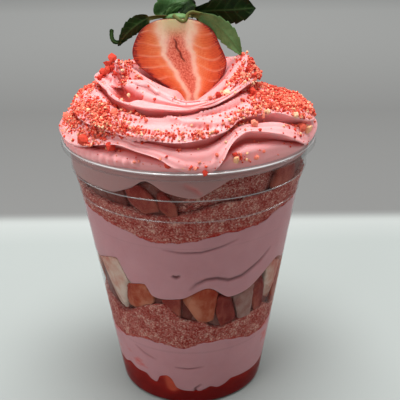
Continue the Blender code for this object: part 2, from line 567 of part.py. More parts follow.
def make_layer(name, foot, top, foot_fractions, top_fractions, wall_steps, finish, relief=0.0, seed=0):
    """A filling layer between two surfaces, as a solid that runs through the cup."""
    rings = surface_rings(foot, foot_fractions, GAP / 2)
    rings += wall_rings(foot, top, wall_steps[::-1], relief, seed)
    rings += surface_rings(top, top_fractions[::-1], -GAP / 2)
    low = float(foot(np.array([0.0]), 0.0)[0]) + GAP / 2
    high = float(top(np.array([0.0]), 0.0)[0]) - GAP / 2
    ring_solid(name, rings, (0, 0, low), (0, 0, high), finish)


def make_sauce():
    """The pool of sauce, which fills the groove round the cup's raised floor."""
    azimuth = columns(LAYER_COLUMNS)
    floor = FLOOR_RISE + WALL + GAP
    profile = [(FOOT_RADIUS - 4.3 - GAP, floor), (FOOT_RADIUS - 2.0, 1.4), (FOOT_RADIUS - 1.4, 1.3),
               (filling_radius(2.2), 2.2)]
    rings = [around(azimuth, radius, height) for radius, height in profile]
    rings += wall_rings(sauce_top, sauce_top, (0.0,), 0.0, 0)
    rings += surface_rings(sauce_top, PLAIN_FRACTIONS[::-1], -GAP / 2)
    finish = material("strawberry_sauce", *SAUCE_RED)
    ring_solid("sauce", rings, (0, 0, floor), (0, 0, SAUCE_MIDDLE - GAP / 2), finish)


def make_layers():
    cream = material("cream", *CREAM_PINK)
    crumble = material("crumble", *CRUMBLE_ROSE)
    plain, ringed = PLAIN_FRACTIONS, RINGED_FRACTIONS
    make_layer("cream_lower", sauce_top, lower_cream_top, plain, plain, (0.0, 0.5, 1.0), cream)
    make_layer("crumble_lower", lower_cream_top, lower_crumble_top, plain, ringed,
               (0.0, 0.25, 0.5, 0.75, 1.0), crumble, CRUMBLE_RELIEF, 1)
    make_layer("cream_middle", middle_cream_foot, middle_cream_top, ringed, plain, (0.0, 0.5, 1.0), cream)
    make_layer("crumble_upper", middle_cream_top, upper_crumble_top, plain, ringed,
               (0.0, 0.33, 0.67, 1.0), crumble, CRUMBLE_RELIEF, 2)


# ---- diced strawberries --------------------------------------------------------------------------
def outline_points(corners, count):
    """A polygon's corners, with middles put into its longest edges until there are count points."""
    points = [np.array(corner, float) for corner in corners]
    while len(points) < count:
        lengths = [np.linalg.norm(point - points[index - 1]) for index, point in enumerate(points)]
        longest = int(np.argmax(lengths))
        points.insert(longest, (points[longest] + points[longest - 1]) / 2)
    return np.array(points)


def make_dice(name, corners, foot, top, finish):
    """One cut piece of strawberry that lies against the wall, between the layer below and the cream above."""
    outline = outline_points(corners, DICE_OUTLINE_POINTS)
    middle = outline.mean(axis=0)
    rings = []
    for share, fraction in DICE_SECTIONS:
        azimuth, height = (middle + (outline - middle) * share).T
        lowest = foot(azimuth, fraction) + DICE_CLEAR
        highest = np.maximum(top(azimuth, fraction) - DICE_CLEAR, lowest)
        height = np.clip(height, lowest, highest)
        rings.append(around(azimuth, fraction * filling_radius(height), height))
    return ring_solid(name, rings, rings[0].mean(axis=0), rings[-1].mean(axis=0), finish)


def make_diced_fruit():
    finish = material("diced_strawberry", *FRUIT_RED)
    for number, corners in enumerate(LOWER_DICE, 1):
        make_dice(f"strawberry_lower_{number}", corners, lower_crumble_top, middle_cream_foot, finish)
    for number, corners in enumerate(UPPER_DICE, 1):
        make_dice(f"strawberry_upper_{number}", corners, upper_crumble_top, top_cream_foot, finish)


# ---- half strawberry and its leaves --------------------------------------------------------------
def berry_size(along):
    """Share of the full width a share of the way from the berry's tip to its top."""
    change = float(smooth_step(*FULLNESS_CHANGE, along))
    fullness = BERRY_FULLNESS[0] + (BERRY_FULLNESS[1] - BERRY_FULLNESS[0]) * change
    return math.sin(math.pi * along ** BERRY_WIDEST) ** fullness


def berry_middle(along):
    """The middle of the cut face a share of the way from the berry's tip to its top."""
    shift = float(smooth_step(*BERRY_BEND, along))
    return Vector((BERRY_TIP[0] + (BERRY_TOP[0] - BERRY_TIP[0]) * shift, BERRY_TIP[1],
                   BERRY_TIP[2] + (BERRY_TOP[2] - BERRY_TIP[2]) * along))


def make_berry(name, grow, finish):
    """Half a strawberry with its cut face towards -Y, larger all round by grow."""
    upward, side = Vector((0, 0, grow)), Vector((1, 0, 0))
    shift = Vector((0, -grow, 0))
    rings = []
    for row in range(1, BERRY_ROWS):
        along = 0.5 - 0.5 * math.cos(math.pi * row / BERRY_ROWS)
        size = berry_size(along)
        centre = berry_middle(along) + upward * (2 * along - 1)
        wide, deep = BERRY_HALF_WIDTH * size + grow, BERRY_DEPTH * size + grow
        back = [centre + side * wide * math.cos(math.pi * step / BERRY_BACK_STEPS)
                + Vector((0, deep * math.sin(math.pi * step / BERRY_BACK_STEPS), 0))
                for step in range(BERRY_BACK_STEPS + 1)]
        front = [back[-1].lerp(back[0], step / BERRY_FRONT_STEPS) for step in range(1, BERRY_FRONT_STEPS)]
        edge = [back[0] + shift] + back[1:-1] + [back[-1] + shift] + [point + shift for point in front]
        rings.append([np.array(point) for point in edge])
    set_back = Vector((0, BERRY_END_SET_BACK, 0))
    ends = [Vector(BERRY_TIP) - upward + set_back, Vector(BERRY_TOP) + upward + set_back]
    return ring_solid(name, rings, ends[0], ends[1], finish)


def make_leaf(name, leaf, stem_end, finish):
    """A thin wavy leaf along a bent centre line, a bare stem at first and pointed at its end."""
    root, middle, end, half_width, wave, turn, power = leaf
    root, middle, end = Vector(root), Vector(middle), Vector(end)
    lean = math.radians(turn)
    rings = []
    for station in range(LEAF_STATIONS + 1):
        t = station / LEAF_STATIONS
        centre = root * (1 - t) ** 2 + middle * 2 * t * (1 - t) + end * t * t
        along = ((middle - root) * (1 - t) + (end - middle) * t).normalized()
        across = along.cross(Vector((0, 1, 0))).normalized()
        facing = across.cross(along).normalized()
        across, facing = (across * math.cos(lean) + facing * math.sin(lean),
                          facing * math.cos(lean) - across * math.sin(lean))
        blade = max(0.0, (t - stem_end) / (1 - stem_end))
        start, reach = LEAF_SPAN
        width = half_width * math.sin(math.pi * (start + reach * blade ** power)) ** LEAF_FULLNESS
        width = max(width if t > stem_end else 0.0, STEM_HALF_WIDTH)
        upper, lower = [], []
        for step in range(LEAF_ACROSS + 1):
            share = 2 * step / LEAF_ACROSS - 1
            bend = wave * math.sin(LEAF_WAVES[0] * t + LEAF_WAVES[1] * share) - LEAF_CUP * wave * share * share
            point = centre + across * width * share + facing * bend * min(1.0, width)
            upper.append(np.array(point + facing * LEAF_THICKNESS / 2))
            lower.append(np.array(point - facing * LEAF_THICKNESS / 2))
        rings.append(upper + lower[::-1])
    first = sum(rings[0]) / len(rings[0])
    last = sum(rings[-1]) / len(rings[-1]) + np.array(end - middle) * LEAF_TIP_REACH
    return ring_solid(name, rings, first, last, finish, mirrored_from=LEAF_ACROSS)


def make_hub(finish):
    """The small round base that the leaves grow from."""
    builder = bmesh.new()
    bmesh.ops.create_uvsphere(builder, u_segments=9, v_segments=5, radius=1.0)
    for vertex in builder.verts:
        vertex.co = Vector([centre + size * part for centre, size, part
                            in zip(HUB_CENTRE, HUB_SIZE, vertex.co)]) * MM
    return object_from("strawberry_leaves", builder, finish)


def make_stalk(finish):
    """The curled stub of stalk, as a tube through its points."""
    points = [Vector(point) for point in STALK_POINTS]
    turns = [2 * math.pi * side / STALK_SIDES for side in range(STALK_SIDES)]
    rings = []
    for index, point in enumerate(points):
        ahead = points[min(index + 1, len(points) - 1)] - points[max(index - 1, 0)]
        side = ahead.cross(Vector((0, 1, 0))).normalized() * STALK_RADIUS
        other = side.cross(ahead).normalized() * STALK_RADIUS
        rings.append([np.array(point + side * math.cos(turn) + other * math.sin(turn)) for turn in turns])
    return ring_solid("stalk", rings, points[0], points[-1], finish)


def make_half_strawberry():
    flesh = material("strawberry_flesh", *BERRY_FLESH)
    green = material("leaf", *LEAF_GREEN)
    make_berry("strawberry_half", 0.0, flesh)
    calyx = make_hub(green)
    pieces = [make_leaf(f"leaf_{number}", leaf, stem, green)
              for number, (leaf, stem) in enumerate(zip(LEAVES, LEAF_STEMS), 1)]
    combine(calyx, pieces + [make_stalk(green)], "UNION", "MANIFOLD")
    combine(calyx, [make_berry("berry_clearance", GAP, flesh)], "DIFFERENCE", "MANIFOLD")
    keep_largest_body(calyx)


# ---- swirl with its crumbs -----------------------------------------------------------------------
def crumb_places(draw):
    """Azimuth, level and size of each crumb, the largest first, drawn from the patches."""
    shares = np.array([patch[4] for patch in CRUMB_PATCHES])
    sizes = np.sort(draw.uniform(*CRUMB_SIZES, CRUMB_COUNT) ** 1.3)[::-1]
    places = []
    for size in sizes:
        azimuth, level, spread, levels, _ = CRUMB_PATCHES[draw.choice(len(shares), p=shares / shares.sum())]
        places.append((azimuth + spread * draw.normal() * 0.8, level + levels * draw.normal() * 0.7, size))
    return places


def make_crumbs(finish):
    """Irregular crumbs that sit in the cream, clear of each other and of the half strawberry."""
    draw = np.random.default_rng(CRUMB_SEED)
    placed = []
    crumbs = []
    for azimuth, level, size in crumb_places(draw):
        place, facing = swirl_point(azimuth, float(np.clip(level, *CRUMB_LEVELS)))
        centre = place + facing * size * (1 - 2 * CRUMB_SINK)
        berry_near = math.hypot(centre[0], min(centre[1], 0.0)) < BERRY_HALF_WIDTH + size + CRUMB_CLEAR
        too_wide = math.hypot(centre[0], centre[1]) + size > LIP_RADIUS
        too_low = centre[2] - 1.1 * size < CUP_HEIGHT + GAP
        crowded = any(np.linalg.norm(centre - other) < (size + reach) * 1.05 for other, reach in placed)
        shape = draw.uniform(*CRUMB_UNEVENNESS, size=(12, 1))
        if (berry_near and centre[1] > -BERRY_HALF_WIDTH) or too_wide or too_low or crowded:
            continue
        builder = bmesh.new()
        bmesh.ops.create_icosphere(builder, subdivisions=1, radius=1.0)
        for vertex, reach in zip(builder.verts, shape):
            vertex.co = Vector((centre + np.array(vertex.co) * size * reach)) * MM
        crumbs.append(object_from(f"crumb_{len(crumbs)}", builder, finish))
        placed.append((centre, size))
    return crumbs


def make_swirl():
    """The swirl of cream on top, joined to its crumbs and hollowed for the half strawberry."""
    cream = material("whipped_top", *CREAM_PINK)
    azimuth = columns(SWIRL_COLUMNS)
    edge = top_cream_foot(azimuth, 1.0) + GAP / 2
    reach = filling_radius(edge)
    rings = [around(azimuth, reach * fraction, top_cream_foot(azimuth, fraction) + GAP / 2)
             for fraction in (*RINGED_FRACTIONS, 1.0)]
    rings += swirl_rows(azimuth)
    low = float(top_cream_foot(np.array([0.0]), 0.0)[0]) + GAP / 2
    swirl = ring_solid("cream_top", rings, (0, 0, low), (0, 0, CRATER_FLOOR), cream)
    combine(swirl, make_crumbs(cream), "UNION")
    combine(swirl, [make_berry("berry_socket", GAP, cream)], "DIFFERENCE")
    keep_largest_body(swirl)


def main():
    for old in list(bpy.data.objects):
        bpy.data.objects.remove(old, do_unlink=True)
    make_cup()
    make_sauce()
    make_layers()
    make_diced_fruit()
    make_half_strawberry()
    make_swirl()


main()
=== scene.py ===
"""Looks of the strawberry cheesecake cup.

Lengths are in millimetres until a mesh is made. +Z is up, and the origin is the centre of the cup's foot.
An azimuth is in degrees, 0 at the front (-Y) and positive towards +X.
A fraction runs from 0 on the axis to 1 at the cup's wall.
"""
import math

import bmesh
import bpy
import numpy as np
from mathutils import Matrix, Vector


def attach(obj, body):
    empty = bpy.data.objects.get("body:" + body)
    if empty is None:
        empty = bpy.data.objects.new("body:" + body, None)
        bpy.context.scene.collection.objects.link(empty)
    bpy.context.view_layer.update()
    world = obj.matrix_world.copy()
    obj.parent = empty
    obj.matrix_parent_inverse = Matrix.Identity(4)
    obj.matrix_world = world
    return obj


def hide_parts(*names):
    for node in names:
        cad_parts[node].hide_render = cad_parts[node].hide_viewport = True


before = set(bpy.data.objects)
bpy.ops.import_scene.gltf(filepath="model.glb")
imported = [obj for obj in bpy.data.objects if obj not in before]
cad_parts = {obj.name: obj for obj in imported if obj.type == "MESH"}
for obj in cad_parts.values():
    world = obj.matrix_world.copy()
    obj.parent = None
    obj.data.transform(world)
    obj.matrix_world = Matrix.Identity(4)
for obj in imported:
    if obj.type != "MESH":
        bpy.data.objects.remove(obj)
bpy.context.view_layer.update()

MM = 0.001
BODY = "root"

# ---- camera, light and set -----------------------------------------------------------------------
CAMERA_PLACE = (4.19, -278.15, 195.43)
CAMERA_PITCH = 22.9
CAMERA_ROLL = 0.01
SENSOR_WIDTH = 36.0
FOCAL_PIXELS = 742.88
IMAGE_WIDTH = 400
FLOOR_SIZE = 4.0
# Distance behind the cup in metres, and the floor's colour there: painted light and shade, darker towards the
# camera, brightest just behind the cup, then a painted grey backdrop in shade that grows lighter far back
FLOOR_PAINTED_LIGHT_BANDS = [(-0.2, (0.31, 0.33, 0.32)), (0.12, (0.39, 0.42, 0.405)), (0.150, (0.45, 0.475, 0.46)),
               (0.163, (0.205, 0.205, 0.20)), (0.40, (0.20, 0.20, 0.195)), (1.0, (0.44, 0.445, 0.435))]
SKY_COLOUR = (0.97, 1.0, 0.99, 1.0)
SKY_STRENGTH = 0.16
# Name, place in metres, height of the point that it faces, size and power
LAMPS = (("overhead", (-0.01, 0.0, 1.5), 0.08, 1.0, 33.0),
         ("front_left", (-0.60, -0.70, 0.60), 0.1, 0.5, 3.0),
         ("left_side", (-0.9, 0.1, 0.42), 0.08, 0.35, 1.6),
         ("right_side", (0.9, 0.1, 0.42), 0.08, 0.35, 2.5))

# ---- cup -----------------------------------------------------------------------------------------
CUP_HEIGHT = 108.0
FOOT_RADIUS = 30.0
LEDGE_HEIGHT, LEDGE_RADIUS = 87.5, 43.3
SHOULDER_HEIGHT, SHOULDER_RADIUS = 96.5, 45.8
NECK_HEIGHT, NECK_RADIUS = 104.6, 46.6
LIP_RADIUS = 49.5
LIP_DEPTH = 3.2
LIP_TOP_INSET = 1.9
MOUTH_RISE = 0.6
WALL = 0.6
STEP_OUT = 0.35
FLOOR_RISE = 2.4
REACH_IN = 0.4                 # how far the filling reaches into the wall
# Height, reach and strength of each painted highlight: white, more opaque lines along the wall's steps and
# the lip
WALL_PAINTED_HIGHLIGHTS = ((LEDGE_HEIGHT + 0.25, 0.22, 0.45), (SHOULDER_HEIGHT + 0.25, 0.22, 0.55), (76.5, 0.3, 0.08),
              (27.5, 0.5, 0.10), (1.0, 0.8, 0.05), (CUP_HEIGHT - 0.35, 0.24, 0.85),
              (CUP_HEIGHT - LIP_DEPTH + 0.35, 0.18, 0.45), (CUP_HEIGHT - 1.7, 0.9, 0.05))
CUP_SEGMENTS = 192
# Red of sauce smears on the cream layers, and painted fold shade in the swirl's folds and grooves, there
# partly also standing for crumb dust.
STAIN_AND_FOLD_SHADE_RED = (0.62, 0.10, 0.085)
# Colour of cream seen behind the plastic wall: painted shade.
PAINTED_SHADE_BEHIND_PLASTIC = (0.42, 0.215, 0.205)
GROOVE_SHADE = (0.20, 0.070, 0.075)

# ---- layers: (azimuth, height) where each surface meets the wall, and its height over the middle ----
LAYER_COLUMNS = 420
# Fractions at which the hidden faces of layers have rings, plain or closer together over the ring of fruit
PLAIN_FRACTIONS = (0.45, 0.8)
RINGED_FRACTIONS = (0.4, 0.6, 0.64, 0.67, 0.71, 0.78, 0.86, 0.94)
SWIRL_FRACTIONS = (0.4, 0.6, 0.64, 0.67, 0.71, 0.8, 0.9, 0.97)
SAUCE_TOP = [(-150, 10), (-100, 12), (-85, 12), (-60, 12.2), (-52, 14), (-44, 12.4), (-36, 12.6),
             (-31, 10.2), (-27, 9.6), (-23.5, 13.2), (-18, 14.4), (-14.5, 13), (-11, 8.6), (-5, 7.2),
             (4, 6.9), (10, 6.9), (14, 8.8), (20, 7.6), (26, 8.6), (31, 10.4), (40, 10), (58, 9.4),
             (80, 10.6), (95, 11), (130, 8.5), (165, 9.5)]
LOWER_CREAM_TOP = [(-170, 31), (-130, 29.5), (-90, 28), (-57, 27.8), (-30, 31.2), (-16, 30.6), (-5, 29),
                   (9, 32), (22, 31.9), (37, 30), (51, 28.9), (65, 29.9), (100, 32), (140, 29)]
LOWER_CRUMBLE_TOP = [(-165, 45), (-130, 48), (-95, 42), (-63, 43.6), (-50, 40.5), (-26, 49), (-16, 50.6),
                     (-3, 43), (6, 42.4), (18, 38.4), (33, 40.6), (50, 41.6), (66, 38.5), (95, 42),
                     (125, 46), (155, 41)]
MIDDLE_CREAM_FOOT = [(-150, 55), (-120, 60), (-90, 62), (-66, 62), (-57, 64), (-43, 67), (-39.5, 62),
                     (-36.5, 57.4), (-26, 58.8), (-21.5, 54), (-16, 53.2), (-5, 54), (10, 58.5), (24, 53),
                     (34, 54), (44.5, 58), (51, 60.6), (59, 62.2), (70, 59.5), (90, 58), (120, 64),
                     (150, 56), (180, 60)]
MIDDLE_CREAM_TOP = [(-140, 84), (-100, 81), (-57, 83.5), (-32, 80.9), (-15, 78.3), (-4, 78.8), (18, 81.8),
                    (38, 82.4), (51, 85.6), (67, 85.9), (100, 83), (140, 80), (180, 82)]
UPPER_CRUMBLE_TOP = [(-140, 91), (-100, 94), (-60, 92), (-40, 91), (-12, 89.5), (12, 93.5), (45, 96),
                     (65, 96.5), (100, 94), (140, 92), (180, 93)]
TOP_CREAM_FOOT = [(-140, 97.5), (-100, 98), (-63, 97), (-37, 97.1), (-26, 100), (-18, 103.6), (-9, 99.7),
                  (3, 97.6), (12, 100.9), (20, 104), (60, 104.2), (90, 102.5), (120, 99), (150, 101),
                  (180, 99)]
SAUCE_MIDDLE = 9.0
LOWER_CREAM_MIDDLE = 30.0
LOWER_CRUMBLE_MIDDLE = 44.0
MIDDLE_CREAM_MIDDLE = 82.0
UPPER_CRUMBLE_MIDDLE = 93.0
FRUIT_RING = (0.62, 0.70)
CRUMB_EDGE = 0.55              # how far a crumbly edge wanders
CRUMBLE_RELIEF = 0.3

# ---- grooves drawn along the cream at the wall: points (azimuth, height), half width, depth ------
# Each groove also gets painted shade along it.
MIDDLE_GROOVES = [([(-14, 75.8), (-4, 74.6), (6, 74.6), (16, 76.2), (26, 78.6)], 0.4, 0.6),
                  ([(-9.5, 64.4), (-7, 63.6), (-4.5, 64.6)], 0.55, 1.0),
                  ([(0, 57.6), (4, 60.6), (9, 62.4), (15, 62.6), (22, 60.8), (30, 61.4), (42, 65.6),
                    (50, 70.0)], 0.7, 0.75), ([(100, 72), (125, 74), (150, 71)], 0.6, 0.5),
                  ([(-160, 70), (-130, 73), (-105, 71)], 0.6, 0.5)]
LOWER_GROOVES = [([(-42, 26), (-34, 23.2), (-24, 21.6)], 0.5, 0.4),
                 ([(-12, 19.4), (-2, 18.8), (9, 19.8)], 0.35, 0.6),
                 ([(8, 10.4), (3, 8.2), (4, 5.0), (10, 4.4)], 0.5, 0.8),
                 ([(13, 8.0), (9, 6.8), (12, 5.6)], 0.4, 0.6), ([(110, 20), (140, 22)], 0.5, 0.5),
                 ([(-150, 21), (-115, 19)], 0.5, 0.5)]
TOP_GROOVES = [([(-2, 103.2), (4, 100.4), (6, 98.6)], 0.7, 0.5)]
# Azimuth, height, their reaches, strength of sauce smears
CREAM_STAINS = [(-70, 24, 13, 9, 0.8), (-74, 36, 10, 6, 0.7), (66, 24, 10, 9, 0.8), (60, 33, 7, 4, 0.5),
                (-46, 17, 8, 3, 0.6), (150, 22, 25, 6, 0.6), (-130, 20, 20, 6, 0.6)]

# ---- diced strawberries: corners (azimuth, height) of each outline against the wall, and its look ----
LOWER_DICE = [([(-71, 40.5), (-44.5, 42.5), (-39.5, 56), (-37, 66), (-60, 69), (-72, 62)], "pale"),
              ([(-37.4, 47), (-33.5, 46), (-23, 50.5), (-21.8, 60), (-35.4, 59.5), (-38, 56)], "orange"),
              ([(-14, 48), (-6.2, 44.5), (-5.6, 53), (-9, 54), (-15, 52)], "dark"),
              ([(-4.4, 52.5), (4.6, 43.3), (13, 43.6), (15.6, 56.5), (9, 59), (-2, 55.5)], "orange"),
              ([(16.8, 45), (19.8, 39.3), (30, 41), (24.6, 52.2), (17.6, 53.5)], "dark"),
              ([(26.4, 52.6), (31.4, 41.5), (38.2, 42.5), (38.8, 55.5), (30, 54.8)], "grey"),
              ([(40, 50), (45.5, 40.5), (50, 41.5), (50, 52), (47, 58), (40.2, 57)], "dark"),
              ([(51.3, 47), (61, 43), (62, 60), (52.4, 62.5)], "pale"),
              ([(63, 41.5), (76.5, 41.5), (78, 57), (70, 61), (63.5, 60)], "orange"),
              ([(80, 44), (97, 43.2), (99, 55), (88, 58.5), (79.6, 54)], "dark"),
              ([(103, 48), (117, 46), (123.5, 53), (120, 62), (105.5, 60)], "orange"),
              ([(131, 45), (144, 42.5), (149, 49), (145.5, 56), (132, 54)], "pale"),
              ([(156.5, 43), (172, 44.5), (174, 53), (163, 58), (156, 52)], "dark"),
              ([(182, 46), (196, 45), (200, 52), (192, 58), (181.5, 56)], "orange"),
              ([(208, 47.5), (222, 48), (226, 57), (214, 60), (207.6, 55)], "pale"),
              ([(234, 47), (248, 47.6), (252, 58), (243, 63), (233.6, 60)], "dark"),
              ([(259, 45), (273, 43), (277, 54), (270, 65), (260, 62)], "orange")]
UPPER_DICE = [([(-28.4, 100), (-27, 95.5), (-19, 91.2), (-15.2, 92.2), (-17.5, 98), (-25, 103)], "dark"),
              ([(-14, 94.6), (-9, 90.6), (-5, 91), (-5.4, 94), (-10.6, 98.6), (-14, 97.6)], "dark"),
              ([(43, 98), (54, 96.6), (60, 99.5), (57, 103), (45, 103.4)], "dark"),
              ([(112, 95), (124, 93.6), (130, 96), (126, 99), (113.5, 98.6)], "orange"),
              ([(214, 93), (226, 91.8), (232, 95), (227, 97.4), (215.5, 97)], "dark")]
DICE_DEPTH = (0.72, 1.005)
DICE_CLEAR = 0.15
CRUMBLE_HEAP = (2, 68)             # azimuths between which the upper crumble is heaped up to the cream
DICE_SEED = 11
# Kind and count of the pieces close behind the wall, and the fractions between which they lie
BEHIND_COUNTS = {"lower": 26, "upper": 22}
BEHIND_DEPTH = (0.66, 0.96)
# Name and colours (skin, flesh, core) of each look of a cut piece
FRUIT_LOOKS = {
    "dark": ("fruit_dark", (0.17, 0.016, 0.012), (0.24, 0.036, 0.026), (0.36, 0.09, 0.06)),
    "orange": ("fruit_orange", (0.28, 0.028, 0.012), (0.36, 0.066, 0.030), (0.50, 0.17, 0.10)),
    "pale": ("fruit_pale", (0.48, 0.13, 0.09), (0.56, 0.30, 0.23), (0.62, 0.46, 0.38)),
    "grey": ("fruit_grey", (0.24, 0.075, 0.060), (0.31, 0.155, 0.13), (0.38, 0.24, 0.21)),
    "behind": ("fruit_shade", (0.17, 0.030, 0.022), (0.21, 0.060, 0.048), (0.26, 0.11, 0.09)),
}

# ---- swirl of cream: (azimuth, radius, height) of the rings that the swirl's base form passes through ----
RING_AZIMUTHS = (-180, -135, -90, -54, -32, -15, 0, 14, 30, 47, 64, 90, 135)
COLLAR = (46.2, 105.4)
RIM_RING = ((47.5, 108.8), (47.6, 108.8), (47.4, 108.8), (47.2, 108.2), (47, 107.8), (46.8, 107.5),
            (46.8, 107.5), (46.8, 107.6), (47, 107.9), (47.3, 108.2), (47.7, 108.6), (48, 108.9),
            (47.6, 108.7))
LOW_RING = ((46.8, 110.8), (46.9, 111), (47.2, 112.3), (47.2, 112), (47.2, 111.6), (47.2, 111.2), (47.2, 111),
            (47.2, 111.4), (47.4, 111.8), (47.7, 112), (48.1, 112), (48.2, 111.8), (47.2, 110.6))
WAIST_RING = ((44.8, 113.8), (45, 114.4), (44.8, 116.6), (45.6, 116.5), (46, 116), (46, 115.5), (46, 115),
              (46, 115.6), (46.2, 116), (46.6, 116.2), (46.9, 116.2), (46, 115.8), (44.6, 112.8))
SHOULDER_RING = ((41.5, 117.2), (41.6, 117.6), (41.2, 120.4), (42.3, 120.6), (42.7, 120.2), (42.6, 119.8),
                 (42.5, 119.5), (42.6, 120), (43, 120.4), (43.4, 120.3), (43.4, 120), (41.4, 119.2),
                 (40, 114.8))
UPPER_RING = ((35.6, 122.6), (36.2, 123), (37, 125.2), (37, 125.3), (37.5, 124.6), (38, 124.2), (38, 124),
              (37.5, 124.2), (37.4, 124.2), (37, 124), (35.6, 123.2), (32.6, 122.6), (33, 119.8))
NECK_RING = ((28.8, 128), (29.8, 128.6), (32.6, 129), (31.5, 128.8), (32.5, 128), (34, 127), (35.6, 126.2),
             (34.8, 126.6), (32.8, 127.4), (30.6, 128.2), (28.6, 128), (26, 127.4), (26.8, 125.8))
LIP_RING = ((21.6, 133), (22, 133), (26, 133), (28.5, 131.4), (27.5, 132), (30.5, 129.6), (33, 127.4),
            (32, 128), (29.5, 129.6), (26.5, 132.6), (24, 134.6), (20.6, 135.8), (20.4, 132.6))
CRATER_WALL = (0.55, 0.50)
CRATER_FLOOR = 116.6
CREST_LOW = [(-180, 3.2), (-140, 3.6), (-100, 3.0), (-62, 3.0), (-48, 3.3), (-29, 4.0), (-20, 3.8),
             (-13, 3.6), (-5, 3.0), (2, 2.4), (8, 2.2), (13, 3.1), (17, 4.0), (22, 4.6), (27, 4.8),
             (34, 4.6), (42, 4.2), (49, 3.6), (67, 2.3), (95, 2.5), (140, 3.0)]
CREST_MIDDLE = [(-180, 4.9), (-130, 4.6), (-90, 4.9), (-50, 4.7), (-29, 4.6), (-5, 4.5), (3, 4.6), (15, 4.9),
                (29, 5.5), (37, 5.5), (45, 5.4), (56, 4.7), (72, 4.0), (95, 4.2), (140, 4.7)]
CREST_HIGH = [(-180, 6.4), (-120, 6.7), (-75, 6.95), (-57, 6.75), (-48, 6.5), (-37, 6.4), (-24, 6.4),
              (-14, 6.5), (2, 6.85), (11, 7.2), (22, 7.5), (34, 7.6), (50, 7.5), (90, 7.2), (120, 6.8),
              (145, 6.4)]
CREST_HEIGHTS = (2.3, 2.2, 2.2, 0.8)
CREST_SPACING = 7.0
LIP_CLEAR_RISE, LIP_CLEAR_SLOPE = 6.0, 0.75
UNDERCUT = 1.15
LEAN = 0.55
VALLEY_AT = 0.86
# Points (azimuth, level), half width, height
SWIRL_FEATURES = [([(-66, 7.5), (-56, 7.42), (-45, 7.06), (-36, 6.94), (-30, 7.12)], 2.1, -4.6),
                  ([(-60, 7.72), (-50, 7.6), (-42, 7.5), (-35, 7.8), (-27, 7.94), (-19, 7.9)], 1.9, 1.4),
                  ([(-72, 8.14), (-60, 8.2), (-52, 8.3)], 1.5, -1.6),
                  ([(-15, 6.2), (-6, 5.88), (4, 5.65), (13, 5.5), (20, 5.6), (28, 5.94), (42, 6.34),
                    (52, 6.5)], 1.3, 0.9),
                  ([(-6, 5.6), (6, 5.4), (18, 5.22), (25, 5.4), (38, 5.93)], 0.7, -0.8),
                  ([(8, 6.35), (20, 6.66), (35, 7.0), (52, 7.1)], 1.2, 0.8),
                  ([(6, 6.1), (18, 6.33), (34, 6.68)], 0.7, -0.7),
                  ([(-58, 4.2), (-42, 4.42), (-25, 4.58), (-12, 4.75)], 1.6, 1.5),
                  ([(-84, 2.1), (-62, 2.15), (-42, 2.4), (-22, 2.7)], 2.3, 1.5),
                  ([(-64, 4.3), (-50, 4.3), (-34, 4.6)], 1.4, 0.7)]
# Points (x, y), half width, height of each rope and fold
LOBES = [([(-30, -8), (-24, -8), (-18, -6.5), (-12, -6), (-7, -5.5), (-4.5, -5)], 4.4, 5.0),
         ([(-29, -12), (-22, -13.5), (-15, -14.5), (-9, -13.5)], 2.4, -3.0),
         ([(25, -5.5), (17, -9), (10, -9.5), (5.5, -8)], 3.6, 2.6)]
LOBE_LEVELS = (7.4, 8.2)
COLLAR_LEVEL, LIP_LEVEL, FLOOR_LEVEL = (1.0, 8.0, 10.0)
SWIRL_COLUMNS = 432
BAND_ROWS = 46
CRATER_ROWS = 24

# ---- crumbs: (azimuth, level, spread in azimuth, spread in levels, share) ------------------------
CRUMB_PATCHES = [(55, 6.2, 14, 0.6, 3.0), (70, 5.6, 12, 0.8, 3.0), (66, 4.4, 9, 0.7, 2.6),
                 (34, 5.75, 10, 0.3, 1.2), (70, 7.7, 16, 0.4, 2.6), (45, 8.1, 12, 0.35, 2.0),
                 (22, 8.05, 8, 0.2, 0.8), (-72, 4.6, 10, 0.9, 1.6), (-50, 5.35, 10, 0.6, 2.2),
                 (-40, 5.0, 9, 0.5, 2.0), (-28, 4.95, 9, 0.3, 1.3), (-54, 4.1, 9, 0.5, 1.4),
                 (0, 4.95, 16, 0.22, 1.2), (-80, 7.4, 9, 0.4, 0.7), (-84, 6.2, 7, 0.5, 0.7),
                 (-52, 7.85, 9, 0.25, 0.8), (22, 3.0, 3.5, 0.35, 0.7), (26, 5.3, 8, 0.25, 1.0),
                 (-38, 3.6, 8, 0.3, 0.8), (2, 2.7, 13, 0.3, 0.35), (105, 5.8, 16, 1.2, 2.4),
                 (140, 5.4, 26, 1.5, 2.6), (-150, 5.6, 28, 1.5, 2.6), (-112, 5.2, 16, 1.2, 1.8)]
